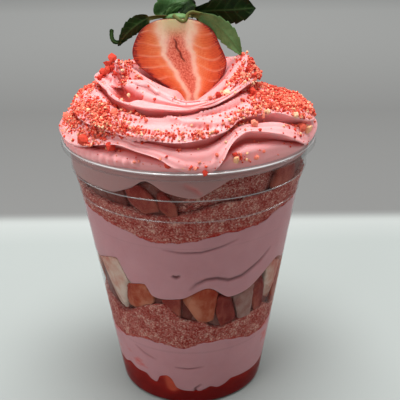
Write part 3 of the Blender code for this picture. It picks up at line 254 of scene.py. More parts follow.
# Patches that hold fine crumbs alone
BERRY_SIDE_PATCHES = [(-60, 8.3, 14, 0.10, 2.2), (-56, 8.62, 12, 0.12, 1.6), (-100, 8.1, 14, 0.25, 1.2),
                      (-34, 5.0, 13, 0.10, 1.8), (-44, 4.4, 12, 0.28, 2.2),
                      (-24, 4.6, 11, 0.18, 1.4), (-31, 5.9, 8, 0.3, 1.9), (-40, 6.4, 6, 0.15, 0.8)]
CHUNKS = [(-79, 7.75, 2.5, "red"), (-75, 8.0, 2.0, "red"), (-80, 7.45, 2.2, "red"),
          (-83, 7.75, 1.8, "red"), (-74, 7.65, 1.8, "red"), (-77, 7.2, 1.6, "red"), (-71, 7.9, 1.4, "red"),
          (-62, 5.65, 1.4, "red"), (-48, 3.6, 2.0, "red"), (48, 6.85, 2.0, "red"),
          (63, 3.5, 1.9, "biscuit"), (55, 4.9, 1.4, "biscuit"), (20, 2.95, 1.6, "biscuit"),
          (-8, 2.6, 1.2, "red"), (7, 2.6, 1.2, "red"), (12, 3.6, 0.8, "coral"), (-19, 7.3, 0.8, "red"),
          (-37, 6.95, 0.8, "biscuit"), (-66, 8.0, 1.2, "red"), (20, 3.3, 0.9, "red")]
CRUMB_COUNT = 58
CRUMB_SIZES = (0.8, 1.6)
CRUMB_SINK = 0.35
CRUMB_CLEAR = 1.2
CRUMB_SEED = 5
FINE_CRUMBS = 16500
FINE_SEED = 23
FINE_SIZES = (0.24, 0.70)
KIND_NAMES = ("red", "coral", "biscuit")
KIND_SHARES = (0.36, 0.88)         # running shares of the kinds
KIND_COLOURS = (((0.52, 0.022, 0.014), (0.78, 0.085, 0.045)), ((0.76, 0.12, 0.070), (0.92, 0.29, 0.19)),
                ((0.84, 0.42, 0.22), (0.95, 0.66, 0.42)))
FOLD_FULL = 0.75                   # sink of a point below its surroundings that gets the full painted fold shade

# ---- half strawberry -----------------------------------------------------------------------------
BERRY_TIP = (1.6, 0.0, 114.6)
BERRY_TOP = (-4.0, 0.0, 150.4)
BERRY_BEND = (0.2, 0.75)           # shares of the length between which the berry's middle moves across
BERRY_HALF_WIDTH = 17.3
BERRY_DEPTH = 15.2
BERRY_WIDEST = 1.357
BERRY_FULLNESS = (1.1, 0.34)
FULLNESS_CHANGE = (0.4, 0.9)
ARM_REACH = (1.3, 5.0)             # how far the two pale arms are from the face's middle, at its tip and top
FACE_LENGTH = 36.0
VEIN_SPACING, VEIN_DROP = 4.3, 2.6
SLIT_SPAN, SLIT_LEAN = (0.54, 0.82), 9.0
BERRY_ROWS = 130
BERRY_BACK_STEPS = 72
BERRY_FRONT_STEPS = 140
SEED_SIZE, SEED_SINK = 0.55, 0.22
SEEDS_SEED = 31

# ---- leaves: root, middle and end of the centre line, half width, wave, how far the leaf turns its face ----
LEAVES = [((-6.5, 2.4, 151.0), (-18.8, 1.2, 152.6), (-25.4, -1.5, 141.6), 3.2, 0.5, 20, 0.9),
          ((-10.4, 3.4, 150.4), (-8.4, 4.4, 154.6), (0.6, 6.0, 156.6), 4.2, 0.6, 20, 0.8),
          ((0.5, 3.6, 151.4), (12, 4.6, 153.8), (25.0, 4.6, 153.4), 5.9, 0.7, -15, 1.6),
          ((1.6, 2.0, 151.6), (12.2, 0.4, 150.8), (19.8, -4.2, 138.4), 3.9, 0.4, -20, 1.25),
          ((-2.2, 4.4, 151.2), (0.5, 8.5, 154), (3.0, 14.5, 153.6), 4.0, 0.5, 0, 0.8),
          ((-6.2, 2.8, 149.9), (-7.6, 3.2, 152.6), (-2.4, 3.6, 154.8), 2.0, 0.3, -25, 0.8),
          ((-24.6, -1.3, 142.6), (-28.6, -1.8, 141.4), (-27.7, -1.4, 147.0), 0.8, 0.1, 0, 0.8)]
# Share of each leaf's length that is bare stem
LEAF_STEMS = (0.34, 0.02, 0.10, 0.14, 0.05, 0.02, 0.0)
# These tones differ leaf by leaf to paint how much light each leaf gets: painted light and shade.
LEAF_LIGHT_TONES = (0.14, 0.36, 0.02, 0.74, 0.25, 0.55, 0.30)         # how pale each leaf is
LEAF_TEETH = 7.0
STEM_HALF_WIDTH = 0.75
LEAF_THICKNESS = 0.35
LEAF_STATIONS = 60
LEAF_ACROSS = 24
HUB_CENTRE = (-4.0, 3.0, 150.6)
HUB_SIZE = (4.6, 2.6, 1.5)
STALK_POINTS = [(-5.0, 1.2, 151.6), (-3.2, 0.2, 150.3), (-1.4, -0.2, 149.5), (-0.2, 0.0, 150.4),
                (0.3, 0.6, 151.9), (2.0, 1.0, 152.8), (4.6, 1.6, 152.2), (7.0, 1.8, 151.6)]
STALK_RADIUS = 0.65


# ---- curves, surfaces and noise ------------------------------------------------------------------
def closed_curve(points, azimuth):
    """Value at each azimuth of the smooth closed curve through (azimuth, value) points, without overshoot."""
    knots = np.array([point[0] for point in points], float)
    values = np.array([point[1] for point in points], float)
    order = np.argsort((knots + 180.0) % 360.0)
    knots = (knots[order] + 180.0) % 360.0 - 180.0
    values = values[order]
    knots = np.concatenate([knots - 360.0, knots, knots + 360.0])
    values = np.tile(values, 3)
    spans = np.diff(knots)
    rises = np.diff(values) / spans
    before, after = rises[:-1], rises[1:]
    same_way = before * after > 0
    slopes = np.zeros(len(knots))
    slopes[1:-1][same_way] = (2 * before * after)[same_way] / (before + after)[same_way]
    at = (np.asarray(azimuth, float) + 180.0) % 360.0 - 180.0
    index = np.clip(np.searchsorted(knots, at, side="right") - 1, 0, len(spans) - 1)
    span = spans[index]
    t = (at - knots[index]) / span
    start = values[index] * (1 + 2 * t) * (1 - t) ** 2 + slopes[index] * span * t * (1 - t) ** 2
    end = values[index + 1] * t * t * (3 - 2 * t) + slopes[index + 1] * span * t * t * (t - 1)
    return start + end


def smooth_step(low, high, value):
    """0 below low, 1 above high, and a smooth rise between."""
    t = np.clip((np.asarray(value, float) - low) / (high - low), 0.0, 1.0)
    return t * t * (3 - 2 * t)


def curve_through(before, start, end, after, t):
    """A smooth curve from start to end that heads on from the point before and towards the point after."""
    bend = 2 * before - 5 * start + 4 * end - after
    twist = 3 * start - before - 3 * end + after
    return 0.5 * (2 * start + (end - before) * t + bend * t ** 2 + twist * t ** 3)


def around(azimuth, radius, height):
    """Points at azimuths, radii and heights, as an array of x, y, z."""
    turn = np.radians(azimuth)
    return np.stack(np.broadcast_arrays(radius * np.sin(turn), -radius * np.cos(turn), height), axis=-1)


def columns(count):
    """Azimuths of evenly spaced columns."""
    return np.arange(count) * 360.0 / count - 180.0


def lattice_value(cell, seed):
    """A random number from 0 to 1 for each whole-number cell."""
    mixed = (cell[..., 0].astype(np.int64) * 73856093) ^ (cell[..., 1].astype(np.int64) * 19349663)
    mixed ^= (cell[..., 2].astype(np.int64) * 83492791) ^ (seed * 2654435761)
    mixed = (mixed ^ (mixed >> 13)) * 1274126177 & 0x7FFFFFFF
    mixed = (mixed ^ (mixed >> 16)) * 668265263 & 0x7FFFFFFF
    return mixed / 0x7FFFFFFF


def soft_noise(points, size, seed):
    """Smooth noise from -1 to 1 with lumps of about a size in millimetres."""
    place = np.asarray(points, float) / size
    cell = np.floor(place)
    part = place - cell
    part = part * part * (3 - 2 * part)
    total = 0.0
    for corner in np.ndindex(2, 2, 2):
        weight = np.prod(np.where(np.array(corner) == 1, part, 1 - part), axis=-1)
        total = total + weight * lattice_value(cell + np.array(corner), seed)
    return 2 * total - 1


def outer_radius(height):
    """Outer radius of the cup's wall."""
    heights = (0.0, LEDGE_HEIGHT, SHOULDER_HEIGHT, NECK_HEIGHT)
    return np.interp(height, heights, (FOOT_RADIUS, LEDGE_RADIUS, SHOULDER_RADIUS, NECK_RADIUS))


def filling_radius(height):
    """Radius that the filling reaches, just inside the wall's own thickness."""
    return outer_radius(height) - WALL + REACH_IN


def crumbly(azimuth, seed):
    """Small wander of a layer's edge against crumbs."""
    rim = around(azimuth, 40.0, 0.0)
    return CRUMB_EDGE * (0.6 * soft_noise(rim, 1.3, seed) + 0.7 * soft_noise(rim, 3.1, seed + 1))


def bowl_height(edge, middle, azimuth, fraction, wander=0.0):
    """Height of a layer's surface that meets the wall along the edge curve and is level over the middle."""
    return middle + (closed_curve(edge, azimuth) + wander - middle) * fraction ** 2


def sauce_top(azimuth, fraction):
    return bowl_height(SAUCE_TOP, SAUCE_MIDDLE, azimuth, fraction)


def lower_cream_top(azimuth, fraction):
    return bowl_height(LOWER_CREAM_TOP, LOWER_CREAM_MIDDLE, azimuth, fraction, crumbly(azimuth, 3))


def lower_crumble_top(azimuth, fraction):
    return bowl_height(LOWER_CRUMBLE_TOP, LOWER_CRUMBLE_MIDDLE, azimuth, fraction, 1.3 * crumbly(azimuth, 5))


def middle_cream_top(azimuth, fraction):
    return bowl_height(MIDDLE_CREAM_TOP, MIDDLE_CREAM_MIDDLE, azimuth, fraction, crumbly(azimuth, 7))


def upper_crumble_top(azimuth, fraction):
    return bowl_height(UPPER_CRUMBLE_TOP, UPPER_CRUMBLE_MIDDLE, azimuth, fraction, 1.5 * crumbly(azimuth, 9))


def over_fruit(edge, below, azimuth, fraction):
    """Underside of a cream layer that spans the ring of fruit and meets the layer below in the middle."""
    rise = smooth_step(*FRUIT_RING, fraction)
    return below + (closed_curve(edge, azimuth) - below) * rise


def middle_cream_foot(azimuth, fraction):
    return over_fruit(MIDDLE_CREAM_FOOT, lower_crumble_top(azimuth, fraction), azimuth, fraction)


def top_cream_foot(azimuth, fraction):
    return over_fruit(TOP_CREAM_FOOT, upper_crumble_top(azimuth, fraction), azimuth, fraction)


# ---- the swirl -----------------------------------------------------------------------------------
def clear_of_lip(radius, height):
    """The radius, held inside the cup's mouth and inside a slope that rises from the lip's inner edge."""
    mouth_height, lip_edge = NECK_HEIGHT + MOUTH_RISE, LIP_RADIUS - LIP_TOP_INSET
    heights = (mouth_height, CUP_HEIGHT, CUP_HEIGHT + LIP_CLEAR_RISE)
    limits = (NECK_RADIUS - WALL, lip_edge, lip_edge + LIP_CLEAR_SLOPE * LIP_CLEAR_RISE)
    return np.minimum(radius, np.interp(height, heights, limits) + REACH_IN)


def swirl_rings(azimuth):
    """Radius and height of every ring of the swirl's base form at each azimuth, the collar first."""
    radii = [np.full_like(azimuth, COLLAR[0])]
    heights = [np.full_like(azimuth, COLLAR[1])]
    for ring in (RIM_RING, LOW_RING, WAIST_RING, SHOULDER_RING, UPPER_RING, NECK_RING, LIP_RING):
        ring_radii, ring_heights = zip(*ring)
        radii.append(closed_curve(list(zip(RING_AZIMUTHS, ring_radii)), azimuth))
        heights.append(closed_curve(list(zip(RING_AZIMUTHS, ring_heights)), azimuth))
    lip_radius, lip_height = radii[-1], heights[-1]
    radii += [lip_radius * CRATER_WALL[0], np.zeros_like(azimuth)]
    heights += [lip_height + (CRATER_FLOOR - lip_height) * CRATER_WALL[1],
                np.full_like(azimuth, CRATER_FLOOR)]
    return np.array(radii), np.array(heights)


def on_rings(rings, level):
    """Values on the smooth curve through the rings at each level, where level 1 is the first ring."""
    last = len(rings) - 1
    at = np.clip(np.asarray(level, float) - 1.0, 0.0, last)
    index = np.minimum(at.astype(int), last - 1)
    t = at - index
    column = np.arange(rings.shape[1])
    before = rings[np.maximum(index - 1, 0), column]
    start = rings[index, column]
    end = rings[index + 1, column]
    after = rings[np.minimum(index + 2, last), column]
    return curve_through(before, start, end, after, t)


def crest_levels(azimuth):
    """Levels of the collar, the three crests, the lip and the crater's floor at each azimuth."""
    crests = [closed_curve(crest, azimuth) for crest in (CREST_LOW, CREST_MIDDLE, CREST_HIGH)]
    collar, lip, floor = (np.full_like(azimuth, level) for level in (COLLAR_LEVEL, LIP_LEVEL, FLOOR_LEVEL))
    return [collar, *crests, lip, floor]


def swirl_form(azimuth):
    """Everything about the swirl that depends on the azimuth alone."""
    radii, heights = swirl_rings(azimuth)
    levels = crest_levels(azimuth)
    places = [(on_rings(radii, each), on_rings(heights, each)) for each in levels]
    return azimuth, radii, heights, levels, places


def lobe_rise(points):
    """How far the ropes of cream beside the half strawberry stand up, and how far the folds lie below."""
    rise = np.zeros(len(points))
    for line, half_width, height in LOBES:
        gap = np.full(len(points), np.inf)
        for start, end in zip(np.array(line[:-1], float), np.array(line[1:], float)):
            offset, run = points[:, :2] - start, end - start
            along = np.clip(offset @ run / (run @ run), 0.0, 1.0)
            gap = np.minimum(gap, np.linalg.norm(offset - along[:, None] * run, axis=1))
        rise += height * np.exp(-(gap / half_width) ** 2)
    return rise


def swirl_row(form, band, step):
    """Points of the swirl a share of the way from one crest to the next, at each azimuth.

    The cream swells to a crest, falls away slowly above it, and is drawn in below the next crest,
    which leans over it.
    """
    azimuth, radii, heights, levels, places = form
    level = levels[band] + (levels[band + 1] - levels[band]) * step
    nudge = 0.05
    radius, height = on_rings(radii, level), on_rings(heights, level)
    climb = np.stack([on_rings(radii, level + nudge) - on_rings(radii, level - nudge),
                      on_rings(heights, level + nudge) - on_rings(heights, level - nudge)])
    climb /= np.maximum(np.hypot(*climb), 1e-6)
    outward = np.stack([climb[1], -climb[0]])
    crest = (0.0,) + CREST_HEIGHTS + (0.0,)
    spacing = np.hypot(places[band + 1][0] - places[band][0], places[band + 1][1] - places[band][1])
    size = np.clip(spacing / CREST_SPACING, 0.15, 1.0)
    falling = crest[band] * (1 - smooth_step(-0.35, 0.75, step)) / (1 - float(smooth_step(-0.35, 0.75, 0.0)))
    rising = crest[band + 1] * float(smooth_step(VALLEY_AT, 1.0, step))
    valley = math.exp(-((step - VALLEY_AT) / 0.12) ** 2)
    drawn_in = UNDERCUT * crest[band + 1] * valley * (step < 1.0)
    if band == len(levels) - 2:
        rising = drawn_in = 0.0
    crest_size = size if band else np.ones_like(size)
    swell = falling * crest_size + (rising - drawn_in) * size
    shift = -LEAN * np.maximum(swell, 0.0)
    radius = radius + outward[0] * swell + climb[0] * shift
    height = height + outward[1] * swell + climb[1] * shift
    place = around(azimuth, clear_of_lip(np.maximum(radius, 0.0), height), height)
    place[:, 2] += lobe_rise(place) * smooth_step(*LOBE_LEVELS, level)
    return place


def swirl_point(azimuth, level):
    """A point of the swirl near a level, and the direction that faces out of the cream there."""
    def at(turn, height):
        form = swirl_form(np.array([turn], float))
        levels = [float(each[0]) for each in form[3]]
        band = max(index for index in range(5) if levels[index] <= height)
        step = (height - levels[band]) / (levels[band + 1] - levels[band])
        return swirl_row(form, band, min(step, 0.999))[0]

    place = at(azimuth, level)
    across = at(azimuth + 1.0, level) - at(azimuth - 1.0, level)
    up = at(azimuth, level + 0.04) - at(azimuth, level - 0.04)
    facing = np.cross(across, up)
    return place, facing / np.linalg.norm(facing)


# ---- meshes --------------------------------------------------------------------------------------
def grid_normals(points):
    """Outward directions on a closed grid of rows of columns."""
    across = np.roll(points, -1, axis=1) - np.roll(points, 1, axis=1)
    up = np.gradient(points, axis=0)
    facing = np.cross(across, up)
    return facing / np.maximum(np.linalg.norm(facing, axis=-1, keepdims=True), 1e-9)


def object_from(name, points, faces, finish, marks=None):
    """A smooth-shaded object from points in millimetres, with named values at its points for its material."""
    mesh = bpy.data.meshes.new(name)
    mesh.from_pydata((np.asarray(points) * MM).tolist(), [], faces)
    mesh.validate()
    builder = bmesh.new()
    builder.from_mesh(mesh)
    bmesh.ops.recalc_face_normals(builder, faces=builder.faces)
    if builder.calc_volume(signed=True) < 0:
        bmesh.ops.reverse_faces(builder, faces=builder.faces)
    builder.to_mesh(mesh)
    builder.free()
    for mark, values in (marks or {}).items():
        layer = mesh.attributes.new(mark, "FLOAT", "POINT")
        layer.data.foreach_set("value", np.asarray(values, np.float32).ravel())
    mesh.shade_smooth()
    mesh.materials.append(finish)
    made = bpy.data.objects.new(name, mesh)
    bpy.context.scene.collection.objects.link(made)
    return made


def ring_solid(name, rings, first, last, finish, marks=None):
    """A closed solid through rings of points, capped by fans to a first and a last point."""
    rows, count = len(rings), len(rings[0])
    points = np.concatenate([[first], [last], np.concatenate(rings)])
    start = 2 + np.arange(rows)[:, None] * count + np.arange(count)[None, :]
    beside = np.roll(start, -1, axis=1)
    quads = np.stack([start[:-1], beside[:-1], beside[1:], start[1:]], axis=-1).reshape(-1, 4)
    near = np.stack([np.zeros(count, int), beside[0], start[0]], axis=-1)
    far = np.stack([np.ones(count, int), start[-1], beside[-1]], axis=-1)
    filled = {mark: np.concatenate([[values[0][0], values[-1][0]], np.concatenate(values)])
              for mark, values in (marks or {}).items()}
    return object_from(name, points, quads.tolist() + near.tolist() + far.tolist(), finish, filled)


def joined_blobs(name, centres, sizes, draw, finish, stretch=0.25):
    """One mesh of many irregular grains: uneven icosahedra, each turned and stretched its own way."""
    builder = bmesh.new()
    bmesh.ops.create_icosphere(builder, subdivisions=1, radius=1.0)
    corners = np.array([vertex.co for vertex in builder.verts])
    sides = np.array([[vertex.index for vertex in face.verts] for face in builder.faces])
    builder.free()
    count = len(centres)
    reach = draw.uniform(0.68, 1.12, size=(count, len(corners), 1))
    spin = np.linalg.qr(draw.normal(size=(count, 3, 3)))[0]
    scale = 1 + stretch * draw.uniform(-1, 1, size=(count, 1, 3))
    points = np.einsum("nij,nkj->nki", spin, corners[None] * reach * scale)
    points = centres[:, None] + points * sizes[:, None, None]
    faces = (sides[None] + (np.arange(count) * len(corners))[:, None, None]).reshape(-1, 3)
    mesh = bpy.data.meshes.new(name)
    mesh.from_pydata((points.reshape(-1, 3) * MM).tolist(), [], faces.tolist())
    mesh.attributes.new("grain", "FLOAT", "POINT").data.foreach_set(
        "value", np.repeat(draw.random(count), len(corners)).astype(np.float32))
    mesh.materials.append(finish)
    made = bpy.data.objects.new(name, mesh)
    bpy.context.scene.collection.objects.link(made)
    return made


def place_piece(piece, slot, *nodes):
    """Puts a piece on the body and lets it stand for the nodes it replaces. The slot is not used."""
    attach(piece, BODY)
    if nodes:
        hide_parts(*nodes)


# ---- materials -----------------------------------------------------------------------------------
def add(tree, kind, inputs=None, **settings):
    """A node with its settings and inputs, where an input is a value or another node's socket."""
    made = tree.nodes.new(kind)
    for name, value in settings.items():
        setattr(made, name, value)
    for key, value in (inputs or {}).items():
        if isinstance(value, bpy.types.NodeSocket):
            tree.links.new(value, made.inputs[key])
        else:
            made.inputs[key].default_value = value
    return made


def ramp(tree, factor, stops, blend="LINEAR"):
    """The colour output of a ramp through (position, colour) stops."""
    made = add(tree, "ShaderNodeValToRGB", {"Fac": factor})
    made.color_ramp.interpolation = blend
    elements = made.color_ramp.elements
    while len(elements) < len(stops):
        elements.new(0.5)
    for element, (position, colour) in zip(elements, stops):
        element.position = position
        element.color = (*colour, 1.0)
    return made.outputs["Color"]


def number_ramp(tree, factor, low, high, to_low=0.0, to_high=1.0):
    """A number mapped from one range to another, clamped."""
    made = add(tree, "ShaderNodeMapRange", {"Value": factor, "From Min": low, "From Max": high,
                                            "To Min": to_low, "To Max": to_high})
    return made.outputs["Result"]


def mix(tree, factor, first, second, blend="MIX"):
    """The colour between two colours."""
    made = add(tree, "ShaderNodeMix", data_type="RGBA", blend_type=blend)
    for key, value in ((0, factor), (6, first), (7, second)):
        if isinstance(value, bpy.types.NodeSocket):
            tree.links.new(value, made.inputs[key])
        else:
            made.inputs[key].default_value = value if key == 0 else (*value, 1.0)
    return made.outputs[2]


def noise(tree, size, detail=3.0, rough=0.55, stretch=None):
    """Noise over the object's own coordinates, with lumps of about a size in millimetres."""
    place = add(tree, "ShaderNodeTexCoord").outputs["Object"]
    if stretch:
        place = add(tree, "ShaderNodeVectorMath", {0: place, 1: stretch}, operation="MULTIPLY").outputs[0]
    made = add(tree, "ShaderNodeTexNoise", {"Vector": place, "Scale": 1 / (size * MM), "Detail": detail,
                                            "Roughness": rough})
    return made.outputs["Fac"]


def mark(tree, name):
    """A value stored at the piece's points."""
    return add(tree, "ShaderNodeAttribute", attribute_name=name).outputs["Fac"]


def arithmetic(tree, operation, first, second=0.0):
    """The result of one sum on numbers."""
    return add(tree, "ShaderNodeMath", {0: first, 1: second}, operation=operation).outputs[0]


def surface(name, roughness=0.5, **fixed):
    """A Principled material, with its node tree and shader."""
    made = bpy.data.materials.new(name)
    made.use_nodes = True
    shader = made.node_tree.nodes["Principled BSDF"]
    shader.inputs["Roughness"].default_value = roughness
    for key, value in fixed.items():
        shader.inputs[key.replace("_", " ")].default_value = value
    return made, made.node_tree, shader


def bump(tree, shader, height, depth, strength=1.0):
    """Fine relief of a depth in millimetres."""
    made = add(tree, "ShaderNodeBump", {"Height": height, "Distance": depth * MM, "Strength": strength})
    tree.links.new(made.outputs["Normal"], shader.inputs["Normal"])


def cream_material(name, low, high, gloss):
    """Whipped cream: soft, slightly see-in, with faint lumps and a fine open texture; darker where marked
    behind the plastic wall (painted shade), redder where sauce smears it and in the swirl's folds and grooves
    (painted fold shade), and darker in the layers' grooves (painted shade).
    """
    made, tree, shader = surface(name, 0.45, Subsurface_Weight=0.35, Subsurface_Scale=0.004,
                                 Subsurface_Radius=(1.0, 0.35, 0.30), Specular_IOR_Level=gloss)
    tint = mix(tree, noise(tree, 9.0), low, high)
    # Darker where marked as behind the plastic wall: painted shade.
    tint = mix(tree, mark(tree, "painted_shade_behind_plastic"), tint, PAINTED_SHADE_BEHIND_PLASTIC)
    # Redder where sauce smears the layers, and in the swirl's folds and grooves as painted fold shade.
    tint = mix(tree, mark(tree, "stain_and_fold_shade"), tint, STAIN_AND_FOLD_SHADE_RED)
    tint = mix(tree, mark(tree, "shade"), tint, GROOVE_SHADE)
    tree.links.new(tint, shader.inputs["Base Color"])
    texture = arithmetic(tree, "MULTIPLY", noise(tree, 0.5, 2.0), 0.25)
    height = arithmetic(tree, "ADD", texture, noise(tree, 2.4, 2.0))
    bump(tree, shader, height, 0.10)
    return made


def crumble_material():
    """A bed of packed crumbs: fine grains of red, rose, coral and pale biscuit in drifts, with painted shade
    between the grains.
    """
    made, tree, shader = surface("crumble_bed", 0.85, Specular_IOR_Level=0.05)
    place = add(tree, "ShaderNodeTexCoord").outputs["Object"]
    warp = add(tree, "ShaderNodeTexNoise", {"Vector": place, "Scale": 1600.0, "Detail": 1.0})
    moved = add(tree, "ShaderNodeVectorMath", {0: warp.outputs["Color"], 1: (0.5 * MM,) * 3},
                operation="MULTIPLY")
    moved = add(tree, "ShaderNodeVectorMath", {0: moved.outputs[0], 1: place}, operation="ADD").outputs[0]
    cells = add(tree, "ShaderNodeTexVoronoi", {"Vector": moved, "Scale": 1900.0, "Randomness": 1.0})
    tone = add(tree, "ShaderNodeSeparateColor", {"Color": cells.outputs["Color"]}).outputs[0]
    drift = number_ramp(tree, noise(tree, 5.0, 4.0, 0.65), 0.35, 0.65, -0.3, 0.3)
    drift = arithmetic(tree, "ADD", tone, drift)
    grains = ramp(tree, drift, [(0.0, (0.32, 0.036, 0.028)), (0.3, (0.42, 0.085, 0.068)),
                                (0.6, (0.50, 0.14, 0.115)), (0.85, (0.56, 0.22, 0.18)),
                                (1.0, (0.68, 0.36, 0.29))])
    red = mix(tree, mark(tree, "moist"), grains, (0.52, 0.03, 0.02))
    # Darker towards the edges of each grain: painted shade between the grains.
    gap_shade = number_ramp(tree, cells.outputs["Distance"], 0.3, 0.8, 1.0, 0.7)
    shaded = add(tree, "ShaderNodeVectorMath", {0: red, 1: gap_shade}, operation="MULTIPLY").outputs[0]
    tree.links.new(shaded, shader.inputs["Base Color"])
    bump(tree, shader, arithmetic(tree, "SUBTRACT", 1.0, cells.outputs["Distance"]), 0.12)
    return made


def crumb_material(name, dark, light):
    """One colour of crumbs, each grain a little different, rough and dry."""
    made, tree, shader = surface(name, 0.8, Specular_IOR_Level=0.25)
    blotch = arithmetic(tree, "MULTIPLY_ADD", noise(tree, 0.5, 2.0), 0.6)
    blotch.node.inputs[2].default_value = -0.3
    tone = arithmetic(tree, "ADD", mark(tree, "grain"), blotch)
    tree.links.new(ramp(tree, tone, [(0.0, dark), (1.0, light)]), shader.inputs["Base Color"])
    bump(tree, shader, noise(tree, 0.25, 2.0), 0.12)
    return made


def sauce_material():
    """Strawberry sauce: dark, wet and clear where it is thin."""
    made, tree, shader = surface("dark_sauce", 0.5, Specular_IOR_Level=0.03)
    depth = ramp(tree, mark(tree, "thin"), [(0.0, (0.19, 0.0035, 0.003)), (0.5, (0.28, 0.012, 0.008)),
                                            (1.0, (0.55, 0.075, 0.04))])
    streak = number_ramp(tree, noise(tree, 6.0, 3.0, stretch=(1.0, 1.0, 3.0)), 0.45, 0.8)
    streak = mix(tree, streak, (0.9, 0.9, 0.9), (1.3, 1.3, 1.3))
    tree.links.new(mix(tree, 1.0, depth, streak, "MULTIPLY"), shader.inputs["Base Color"])
    bump(tree, shader, noise(tree, 3.0), 0.08)
    return made


def fruit_material(name, skin, flesh, core):
    """A cut piece of strawberry against the plastic: skin at its ends, streaky flesh and a pale core."""
    made, tree, shader = surface(name, 0.5, Specular_IOR_Level=0.08)
    blotch = number_ramp(tree, noise(tree, 4.5, 3.0), 0.3, 0.7, -0.3, 0.3)
    depth = arithmetic(tree, "ADD", mark(tree, "core"), blotch)
    body = ramp(tree, depth, [(0.1, skin), (0.5, flesh), (0.95, core)])
    fibres = number_ramp(tree, noise(tree, 1.4, 3.0, stretch=(1.0, 1.0, 0.3)), 0.5, 0.8, 0.0, 0.6)
    tree.links.new(mix(tree, fibres, body, core), shader.inputs["Base Color"])
    bump(tree, shader, noise(tree, 1.2), 0.12)
    return made


def plastic_material():
    """Clear thin plastic: light goes straight through; painted white highlights along its marked lines and
    lip, and a painted edge highlight where the wall is seen glancing.
    """
    made = bpy.data.materials.new("clear_plastic_wall")
    made.use_nodes = True
    tree = made.node_tree
    shader = tree.nodes["Principled BSDF"]
    glance = add(tree, "ShaderNodeLayerWeight", {"Blend": 0.5}).outputs["Facing"]
    # Painted highlights: the base colour turns white at the marked lines and lip and where the wall is seen
    # glancing.
    painted_highlight = arithmetic(tree, "MAXIMUM", mark(tree, "bead"), number_ramp(tree, glance, 0.80, 0.95, 0.0, 0.9))
    tree.links.new(mix(tree, painted_highlight, (0.22, 0.22, 0.22), (0.95, 0.96, 0.96)), shader.inputs["Base Color"])
    shader.inputs["Roughness"].default_value = 0.07
    shader.inputs["Specular IOR Level"].default_value = 0.8
    clear = add(tree, "ShaderNodeBsdfTransparent", {"Color": (0.94, 0.945, 0.945, 1.0)})
    waves = add(tree, "ShaderNodeBump", {"Height": noise(tree, 14.0, 1.0, stretch=(1.0, 1.0, 0.4)),
                                         "Distance": 0.1 * MM, "Strength": 1.0})
    tree.links.new(waves.outputs["Normal"], shader.inputs["Normal"])
    # The white surface shows more where the wall is seen glancing, held low on the lip, and fully at the
    # marked lines: painted highlights.
    edge = ramp(tree, glance, [(place, (share,) * 3) for place, share in
                               ((0.0, 0.006), (0.6, 0.03), (0.85, 0.11), (1.0, 0.45))])
    edge = mix(tree, mark(tree, "lip"), edge, (0.03, 0.03, 0.03))
    edge = arithmetic(tree, "MAXIMUM", edge, mark(tree, "bead"))
    joined = add(tree, "ShaderNodeMixShader", {0: edge, 1: clear.outputs[0], 2: shader.outputs[0]})
    tree.links.new(joined.outputs[0], tree.nodes["Material Output"].inputs["Surface"])
    return made


def berry_material():
    """The cut face and skin of the half strawberry, painted from the marks at its points."""
    made, tree, shader = surface("half_strawberry", 0.3, Subsurface_Weight=0.2, Subsurface_Scale=0.003,
                                 Subsurface_Radius=(1.0, 0.35, 0.2), Coat_Weight=0.15, Coat_Roughness=0.15)
    blotch = number_ramp(tree, noise(tree, 2.6, 4.0, 0.7), 0.3, 0.7, -0.14, 0.14)
    depth = arithmetic(tree, "ADD", mark(tree, "depth"), blotch)
    flesh = ramp(tree, depth, [(0.0, (0.20, 0.010, 0.008)), (0.07, (0.40, 0.030, 0.014)),
                               (0.16, (0.62, 0.090, 0.024)), (0.55, (0.80, 0.19, 0.048)),
                               (0.88, (0.88, 0.34, 0.13)), (1.0, (0.92, 0.46, 0.24))])
    grainy = number_ramp(tree, noise(tree, 0.7, 3.0, 0.7), 0.35, 0.65, -0.5, 0.5)
    heart_tone = arithmetic(tree, "ADD", mark(tree, "heart_tone"), grainy)
    heart = ramp(tree, heart_tone, [(0.0, (0.56, 0.10, 0.050)), (0.5, (0.76, 0.25, 0.15)),
                                    (1.0, (0.88, 0.46, 0.32))])
    flesh = mix(tree, mark(tree, "heart"), flesh, heart)
    ragged = number_ramp(tree, noise(tree, 1.3, 3.0), 0.3, 0.6, 0.75, 1.0)
    white = arithmetic(tree, "MULTIPLY", mark(tree, "white"), ragged)
    flesh = mix(tree, white, flesh, (0.97, 0.80, 0.60))
    flesh = mix(tree, arithmetic(tree, "MULTIPLY", mark(tree, "vein"), ragged), flesh, (0.94, 0.56, 0.36))
    flesh = mix(tree, arithmetic(tree, "MULTIPLY", mark(tree, "crown"), 0.95), flesh, (0.66, 0.66, 0.34))
    # The slit in the core is painted dark: painted shade in its hollow.
    flesh = mix(tree, mark(tree, "slit"), flesh, (0.16, 0.020, 0.012))
    skin = ramp(tree, noise(tree, 5.0), [(0.3, (0.26, 0.008, 0.007)), (0.7, (0.44, 0.020, 0.012))])
    tree.links.new(mix(tree, mark(tree, "skin"), flesh, skin), shader.inputs["Base Color"])
    bump(tree, shader, arithmetic(tree, "ADD", noise(tree, 0.9), mark(tree, "vein")), 0.10)
    return made


